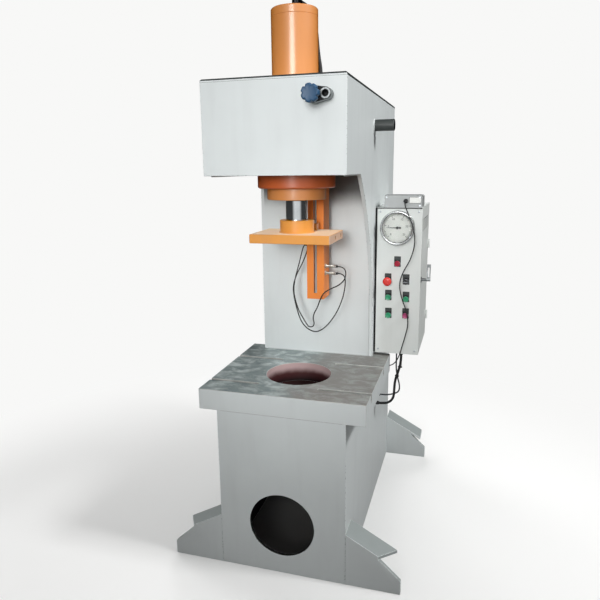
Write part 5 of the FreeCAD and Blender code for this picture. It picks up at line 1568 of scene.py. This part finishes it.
class PRESS_OT_controls(Operator):
    """Fit the legend plates, bezels, lamp, stop button, selector and push buttons"""

    bl_idname = "press.controls"
    bl_label = "Control buttons"

    def execute(self, context):
        plates = bmesh.new()
        collars = bmesh.new()
        for seat in CONTROLS.values():
            x, _, z = seat
            prism(plates, rounded(0.03, 0.048, 0.002, (x, z + 0.009)), "front", -CABINET_FRONT, LEGEND_FACE)
            field = rounded(0.0255, 0.0125, 0.001, (x, z + 0.0245))
            prism(plates, field, "front", -0.34, LEGEND_FACE + 0.00015, 1)
            self.collar(collars, seat)
        coats = [black_abs, dark_edge_paint]
        piece("blank_legend_plates", plates, coats, "frame", "legend_plates", "black_plastic", edge=0.0003)
        coats = [chrome_plate, black_abs, nickel_plate]
        piece(
            "button_collars", collars, coats, "frame", "button_bezels", "zinc_plate", edge=0.0003, crease=40
        )
        cap = STEM + [
            (0.0125, -0.3325), (0.0126, -0.3318), (0.0126, -0.324), (0.0122, -0.3228), (0.0112, -0.3221),
            (0.0104, -0.3221), (0.0088, -0.3228), (0.0045, -0.3233), (0.0, -0.3234),
        ]
        for body, node, coat, slot in (
            ("start_left", "start_button_left", start_plastic, "green_plastic"),
            ("start_right", "start_button_right", start_plastic, "green_plastic"),
            ("jog_left", "jog_button_left", start_plastic, "green_plastic"),
            ("jog_right", "jog_button_right", jog_plastic, "magenta_plastic"),
        ):
            turned_piece(body + "_cap", CONTROLS[body], "front", cap, 64, [coat], body, node, slot, crease=40)
        self.lamp()
        self.stop_button()
        self.selector()
        return {"FINISHED"}

    def collar(self, mesh, seat):
        """A polished collar, its sleeve and nut through the panel, and the contact block behind it."""
        x, _, z = seat
        bore, outside, back = 0.0096, 0.011, -0.358
        rim = [
            (bore, LEGEND_FACE), (0.0135, LEGEND_FACE), (0.0149, -0.3392), (0.015, -0.338), (0.0147, -0.3335),
            (0.0143, -0.3318), (0.0139, -0.331), (0.0134, -0.3311), (0.013, -0.332), (0.013, -0.337),
            (bore, -0.337), (bore, LEGEND_FACE),
        ]
        turned(mesh, seat, "front", rim)
        sleeve = [(bore, back), (outside, back), (outside, LEGEND_FACE), (bore, LEGEND_FACE), (bore, back)]
        turned(mesh, seat, "front", sleeve, coat=1, steps=40)
        nut(mesh, seat, "front", 0.0155, -0.349, -0.344, 1)
        block(mesh, (x - 0.014, 0.358, z - 0.019), (x + 0.014, 0.392, z + 0.019), 1)
        for strip_x in (x - 0.0105, x + 0.0105):
            low, high = (strip_x - 0.002, 0.3905, z - 0.0165), (strip_x + 0.002, 0.3919, z + 0.0165)
            block(mesh, low, high, 2)

    def lamp(self):
        """Domed red lens with moulded rings."""
        lens = [(0.0, -0.337), (0.0129, -0.337), (0.0129, -0.3285), (0.0124, -0.3272)]
        for ring in range(6):
            radius = 0.0116 - ring * 0.0018
            lens += [(radius + 0.0006, -0.3262), (radius, -0.3254), (radius - 0.0006, -0.3262)]
        lens += [(0.0, -0.3252)]
        turned_piece(
            "pilot_lamp", CONTROLS["lamp"], "front", lens, 64, [lamp_lens], "frame", "power_lamp", "red_lens",
            crease=30,
        )

    def stop_button(self):
        """Red mushroom head with a rounded rim and a low crown, on a tapered skirt."""
        face = -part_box("estop_button")[0][1]
        head = STEM + [(0.0124, -0.3325), (0.0118, -0.327), (0.0112, -0.321)]
        head += [(radius, face - depth) for radius, depth in (
            (0.0118, 0.0165), (0.0165, 0.0158), (0.0189, 0.0138), (0.0199, 0.0105), (0.0199, 0.0078),
            (0.0188, 0.0042), (0.0164, 0.0018), (0.0128, 0.0005), (0.0088, 0.0001), (0.0, 0.0),
        )]
        turned_piece(
            "mushroom_button", CONTROLS["stop"], "front", head, 80, [stop_plastic], "emergency_stop",
            "estop_button", "red_plastic", crease=50,
        )

    def selector(self):
        """Black rotary knob with a raised grip and a silver pointer strip."""
        seat = CONTROLS["selector"]
        x, _, z = seat
        mesh = bmesh.new()
        skirt = [(0.0125, -0.3325), (0.0126, -0.3318), (0.0122, -0.3238), (0.0112, -0.322), (0.0, -0.322)]
        turned(mesh, seat, "front", STEM + skirt, steps=64)
        prism(mesh, rounded(0.0226, 0.0058, 0.0026, (x, z)), "front", -0.3225, -0.3108)
        ring = [(0.01, -0.33), (0.0128, -0.33), (0.0128, -0.3232), (0.0122, -0.3224), (0.0106, -0.3224)]
        turned(mesh, seat, "front", ring, coat=1, steps=64)
        prism(mesh, rounded(0.0215, 0.0034, 0.0005, (x, z)), "front", -0.312, -0.3102, 1)
        coats = [black_abs, chrome_plate]
        piece(
            "selector_grip", mesh, coats, "selector", "selector_knob", "black_plastic", edge=0.0006,
            segments=3,
        )


# ---- glands and fittings ----
class PRESS_OT_glands(Operator):
    """Fit the ribbed cable glands"""

    bl_idname = "press.glands"
    bl_label = "Cable glands"

    def execute(self, context):
        mesh = bmesh.new()
        for mouth, axis, cable_radius in (
            (UPPER_SENSOR_LEAD[-1], "front", 0.0025), (LOWER_SENSOR_LEAD[-1], "front", 0.0025),
            (GAUGE_SIGNAL_LEAD[0], "front", 0.0025), (MAIN_TRUNK[0], "down", 0.006),
            (RETURN_LOOP[0], "down", 0.0035), (GAUGE_SIGNAL_LEAD[-1], "right", 0.0025),
            (MAIN_TRUNK[-1], "right", 0.006), (RETURN_LOOP[-1], "right", 0.0035),
        ):
            bore = cable_radius + 0.0007
            body = [
                (bore, -0.0175), (0.0088, -0.0175), (0.009, -0.0168), (0.009, -0.006), (0.0084, -0.0026),
                (0.0072, -0.0006), (bore + 0.0006, 0.0), (bore, -0.0006),
            ]
            turned(mesh, mouth, axis, body, shape=lambda turn: 1.0 - 0.02 * (1 + math.cos(18 * turn)) / 2)
            nut(mesh, mouth, axis, 0.0109, -0.0235, -0.0172)
        piece("dome_glands", mesh, [black_abs], "frame", "cable_glands", "black_plastic", edge=0.0003)
        return {"FINISHED"}


class PRESS_OT_fittings(Operator):
    """Dress the hose's elbow on the cylinder and its adaptor on the head"""

    bl_idname = "press.fittings"
    bl_label = "Hose fittings"

    def execute(self, context):
        mesh = cad_copy("hose_fittings")
        start, rise = Vector(CYLINDER_HOSE[0]), Vector((0, 0, 1))
        aim = (Vector(CYLINDER_HOSE[1]) - start).normalized()
        side = aim.cross(rise).normalized()
        for reach in (-0.016, -0.0085, -0.001):
            spots = [on_circle(0.0124, turn) for turn in round_the_ring(40)]
            swept(mesh, [start + aim * reach + side * a + rise * b for a, b in spots], 0.001, 6, closed=True)
        x, y, _ = CYLINDER_HOSE[-1]
        for z in (1.2, 1.2075, 1.215):
            swept(mesh, circle((x, y, z), 0.0132, steps=40), 0.0012, 6, closed=True)
        coats = [black_oxide, zinc_plate]
        piece("crimped_fittings", mesh, coats, "frame", "hose_fittings", "dark_steel", edge=0.0007)
        return {"FINISHED"}


# ---- power unit ----
MOTOR_AXIS = (0.0, 0.541, 0.0)


class PRESS_OT_power_unit(Operator):
    """Dress the tank, the pump with its bell, the coupling and the finned motor"""

    bl_idname = "press.power_unit"
    bl_label = "Power unit"

    def execute(self, context):
        centre = Vector(MOTOR_AXIS)
        mesh = cad_copy("oil_tank")
        tank_top = -0.396
        filler = [(0.0, tank_top), (0.03, tank_top), (0.03, -0.372), (0.027, -0.366), (0.0, -0.365)]
        turned(mesh, (0.135, 0.69, 0.0), "up", filler, coat=1, steps=48)
        sight_glass = [(0.0, tank_top), (0.022, tank_top), (0.022, -0.388), (0.0, -0.388)]
        turned(mesh, (-0.14, 0.69, 0.0), "up", sight_glass, coat=1)
        piece("reservoir", mesh, [motor_enamel, black_abs], "frame", "oil_tank", "motor_paint", edge=0.0015)
        mesh = cad_copy("pump_unit")
        for turn in round_the_ring(4, 0.5):
            x, y = on_circle(0.09, turn)
            nut(mesh, (x, MOTOR_AXIS[1] + y, -0.385), "up", 0.0062, 0.0, 0.006, 1)
        coats = [bare_aluminium, zinc_plate]
        piece("pump_and_bell", mesh, coats, "frame", "pump_unit", "raw_aluminium", edge=0.001)
        mesh = bmesh.new()
        body = [
            (0.0121, -0.275), (0.086, -0.275), (0.093, -0.272), (0.093, -0.258), (0.084, -0.255),
            (0.084, -0.04), (0.092, -0.038), (0.095, -0.034), (0.095, 0.014), (0.09, 0.022), (0.08, 0.025),
            (0.0, 0.025), (0.0, -0.253), (0.0121, -0.253), (0.0121, -0.275),
        ]
        turned(mesh, MOTOR_AXIS, "up", body, steps=96)
        fin = ((0.083, -0.0014), (0.0945, -0.0009), (0.0945, 0.0009), (0.083, 0.0014))
        for turn in round_the_ring(sizes().motor_fins):
            across = Vector((*on_circle(1.0, turn), 0.0))
            beside = Vector((-across.y, across.x, 0.0))
            outline = [(centre + across * reach + beside * side)[:2] for reach, side in fin]
            prism(mesh, outline, "up", -0.256, -0.0385)
        piece("finned_motor", mesh, [motor_enamel], "frame", "pump_motor", "motor_paint", edge=0.0006)
        low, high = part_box("motor_coupling")
        mesh = cad_copy("motor_coupling")
        half = Vector((0.003, 0.003, 0.008))
        for turn in round_the_ring(3):
            spider = centre + Vector((*on_circle(0.0315, turn), (low[2] + high[2]) / 2))
            block(mesh, spider - half, spider + half, 1)
        coats = [bare_aluminium, black_rubber_and_shade]
        piece("jaw_coupling", mesh, coats, "coupling", "motor_coupling", "raw_aluminium", edge=0.0006)
        return {"FINISHED"}


# ---- stage ----
# name, place, aim, size in metres, watts, cone in degrees or none for an area, and whether paint mirrors it
LAMPS = (
    ("key_lamp", (0.3, -4.4, 1.75), (0.0, -0.3, 1.25), 1.0, 520.0, 48.0, True),
    ("throat_lamp", (0.3, -4.4, 1.0), (-0.02, 0.28, 0.32), 0.5, 490.0, 13.5, False),
    ("base_lamp", (0.5, -4.4, -0.3), (0.0, -0.28, -0.68), 0.5, 250.0, 11.0, False),
    ("side_lamp", (4.0, -0.2, 4.0), (0.2, 0.3, 0.6), 1.1, 200.0, None, True),
    ("top_lamp", (0.0, -0.4, 4.6), (0.0, 0.0, 0.0), 3.0, 60.0, None, False),
    ("left_lamp", (-3.4, 2.6, 2.4), (0.0, 0.3, 0.2), 2.0, 60.0, None, False),
    ("rear_lamp", (-1.2, 4.8, 2.4), (0.0, 0.6, 0.2), 2.0, 80.0, None, False),
)


class PRESS_OT_stage(Operator):
    """Lay the plain floor and set the surround and the soft lamps"""

    bl_idname = "press.stage"
    bl_label = "Studio"

    def execute(self, context):
        scene = context.scene
        scene.view_settings.view_transform = "Standard"
        mesh = bmesh.new()
        bmesh.ops.create_circle(mesh, cap_ends=True, segments=96, radius=60.0)
        bmesh.ops.translate(mesh, verts=mesh.verts, vec=(0, 0, FLOOR))
        data = bpy.data.meshes.new("studio_floor")
        mesh.to_mesh(data)
        mesh.free()
        ground = bpy.data.objects.new("studio_floor", data)
        scene.collection.objects.link(ground)
        data.materials.append(self.floor_paint())
        self.sky()
        for lamp in LAMPS:
            self.lamp(*lamp)
        return {"FINISHED"}

    def lamp(self, name, place, aim, size, power, cone, mirrored):
        """A soft lamp aimed at a point; one that isn't mirrored leaves no image of itself in the paint."""
        data = bpy.data.lights.new(name, "SPOT" if cone else "AREA")
        if cone:
            data.shadow_soft_size = size
            data.spot_size = math.radians(cone)
            data.spot_blend = 1.0
        else:
            data.size = size
        data.energy = power
        made = bpy.data.objects.new(name, data)
        made.visible_glossy = mirrored
        ahead = (Vector(aim) - Vector(place)).normalized()
        made.matrix_world = Matrix.Translation(place) @ ahead.to_track_quat("-Z", "Y").to_matrix().to_4x4()
        bpy.context.scene.collection.objects.link(made)

    def floor_paint(self):
        """Matt pale floor: it keeps the press's shadow, is darkened as painted shade where the base encloses
        it, and fades into the pale surround.
        """
        tone = colours().floor_tone
        material, tree, shader, place = start_finish("studio_floor_paint", Roughness=0.9)
        rays = add(tree, "LightPath").outputs
        # reflections see the floor bright in front of the press and dimmer at its sides
        toward = add(tree, "VectorMath", place, operation="NORMALIZE")
        facing = add(tree, "VectorMath", toward, (0.3, -0.95, 0.0), operation="DOT_PRODUCT")
        room = add(tree, "MapRange", facing, 0.62, 0.95, 0.0, 1.0, interpolation_type="SMOOTHSTEP")
        seen = add(
            tree, "Math", rays["Is Glossy Ray"], room, rays["Is Camera Ray"], operation="MULTIPLY_ADD"
        )
        # painted shade: the ground enclosed by the base is kept dark
        spot = add(tree, "VectorMath", place, (0.0, 0.32, FLOOR), operation="SUBTRACT")
        sides = add(tree, "VectorMath", spot, operation="ABSOLUTE")
        parts = add(tree, "SeparateXYZ", sides).outputs
        within = add(tree, "Math", parts[0], 0.25, operation="LESS_THAN")
        deep = add(tree, "Math", parts[1], 0.585, operation="LESS_THAN")
        under_base_shade = add(tree, "Math", within, deep, operation="MULTIPLY")
        colour = add(tree, "Mix", seen, shade_of(tone, 0.2), tone, data_type="RGBA")
        shaded = add(tree, "Mix", under_base_shade, colour, shade_of(tone, 0.3), data_type="RGBA")
        wire(tree, shader, Base_Color=shaded)
        reach = add(tree, "VectorMath", place, operation="LENGTH")
        fade = add(tree, "MapRange", reach, 1.2, 2.6, interpolation_type="SMOOTHSTEP")
        glow = add(tree, "Emission", Color=tone)
        dimmed = add(tree, "Math", rays["Is Glossy Ray"], -0.65, 1.0, operation="MULTIPLY_ADD")
        dark = add(tree, "Emission", Color=shade_of(tone, 0.2), Strength=dimmed)
        far = add(tree, "MixShader", seen, dark, glow)
        both = add(tree, "MixShader", fade, shader, far)
        wire(tree, tree.nodes["Material Output"], Surface=both)
        return material

    def sky(self):
        """Pale surround: white to the camera and through glass, and dimmer as light on the press."""
        world = bpy.data.worlds.new("studio_surround")
        bpy.context.scene.world = world
        world.use_nodes = True
        tree = world.node_tree
        surround = wire(tree, tree.nodes["Background"], Color=colours().floor_tone)
        rays = add(tree, "LightPath").outputs
        seen = add(tree, "Math", rays["Is Camera Ray"], rays["Is Transmission Ray"], operation="MAXIMUM")
        # reflections see a bright room in front and dim sides, so turned parts keep their shape
        aim = add(tree, "TexCoord").outputs["Generated"]
        facing = add(tree, "VectorMath", aim, (0.3, -0.95, 0.1), operation="DOT_PRODUCT")
        room = add(tree, "MapRange", facing, 0.45, 0.88, -0.38, 0.95, interpolation_type="SMOOTHSTEP")
        mirrored = add(tree, "Math", rays["Is Glossy Ray"], room, operation="MULTIPLY")
        level = add(tree, "Math", seen, mirrored, operation="ADD")
        strength = add(tree, "MapRange", level, -1.0, 1.0, -0.6, 1.0)
        wire(tree, surround, Strength=strength)


OPERATORS = (
    PRESS_OT_camera, PRESS_OT_cables, PRESS_OT_frame, PRESS_OT_feet, PRESS_OT_table, PRESS_OT_cylinder,
    PRESS_OT_ram, PRESS_OT_guide, PRESS_OT_valve, PRESS_OT_cabinet, PRESS_OT_gauge, PRESS_OT_controls,
    PRESS_OT_glands, PRESS_OT_fittings, PRESS_OT_power_unit, PRESS_OT_stage,
)


class PRESS_PT_sidebar(Panel):
    """Lists the press's settings and the steps that dress it"""

    bl_idname = "PRESS_PT_sidebar"
    bl_label = "Hydraulic press"
    bl_space_type = "VIEW_3D"
    bl_region_type = "UI"
    bl_category = "Press"

    def draw(self, context):
        layout = self.layout
        for group in (context.scene.press_sizes, context.scene.press_colours):
            column = layout.column()
            for name in group.__annotations__:
                column.prop(group, name)
        for step in OPERATORS:
            layout.operator(step.bl_idname)


CLASSES = (PressSizes, PressColours, *OPERATORS, PRESS_PT_sidebar)


def register():
    for made in CLASSES:
        bpy.utils.register_class(made)
    bpy.types.Scene.press_sizes = PointerProperty(type=PressSizes)
    bpy.types.Scene.press_colours = PointerProperty(type=PressColours)


def unregister():
    del bpy.types.Scene.press_colours
    del bpy.types.Scene.press_sizes
    for made in reversed(CLASSES):
        bpy.utils.unregister_class(made)


def main():
    """Runs every step on the scene."""
    register()
    for step in OPERATORS:
        group, name = step.bl_idname.split(".")
        getattr(getattr(bpy.ops, group), name)()


if __name__ == "__main__":
    main()
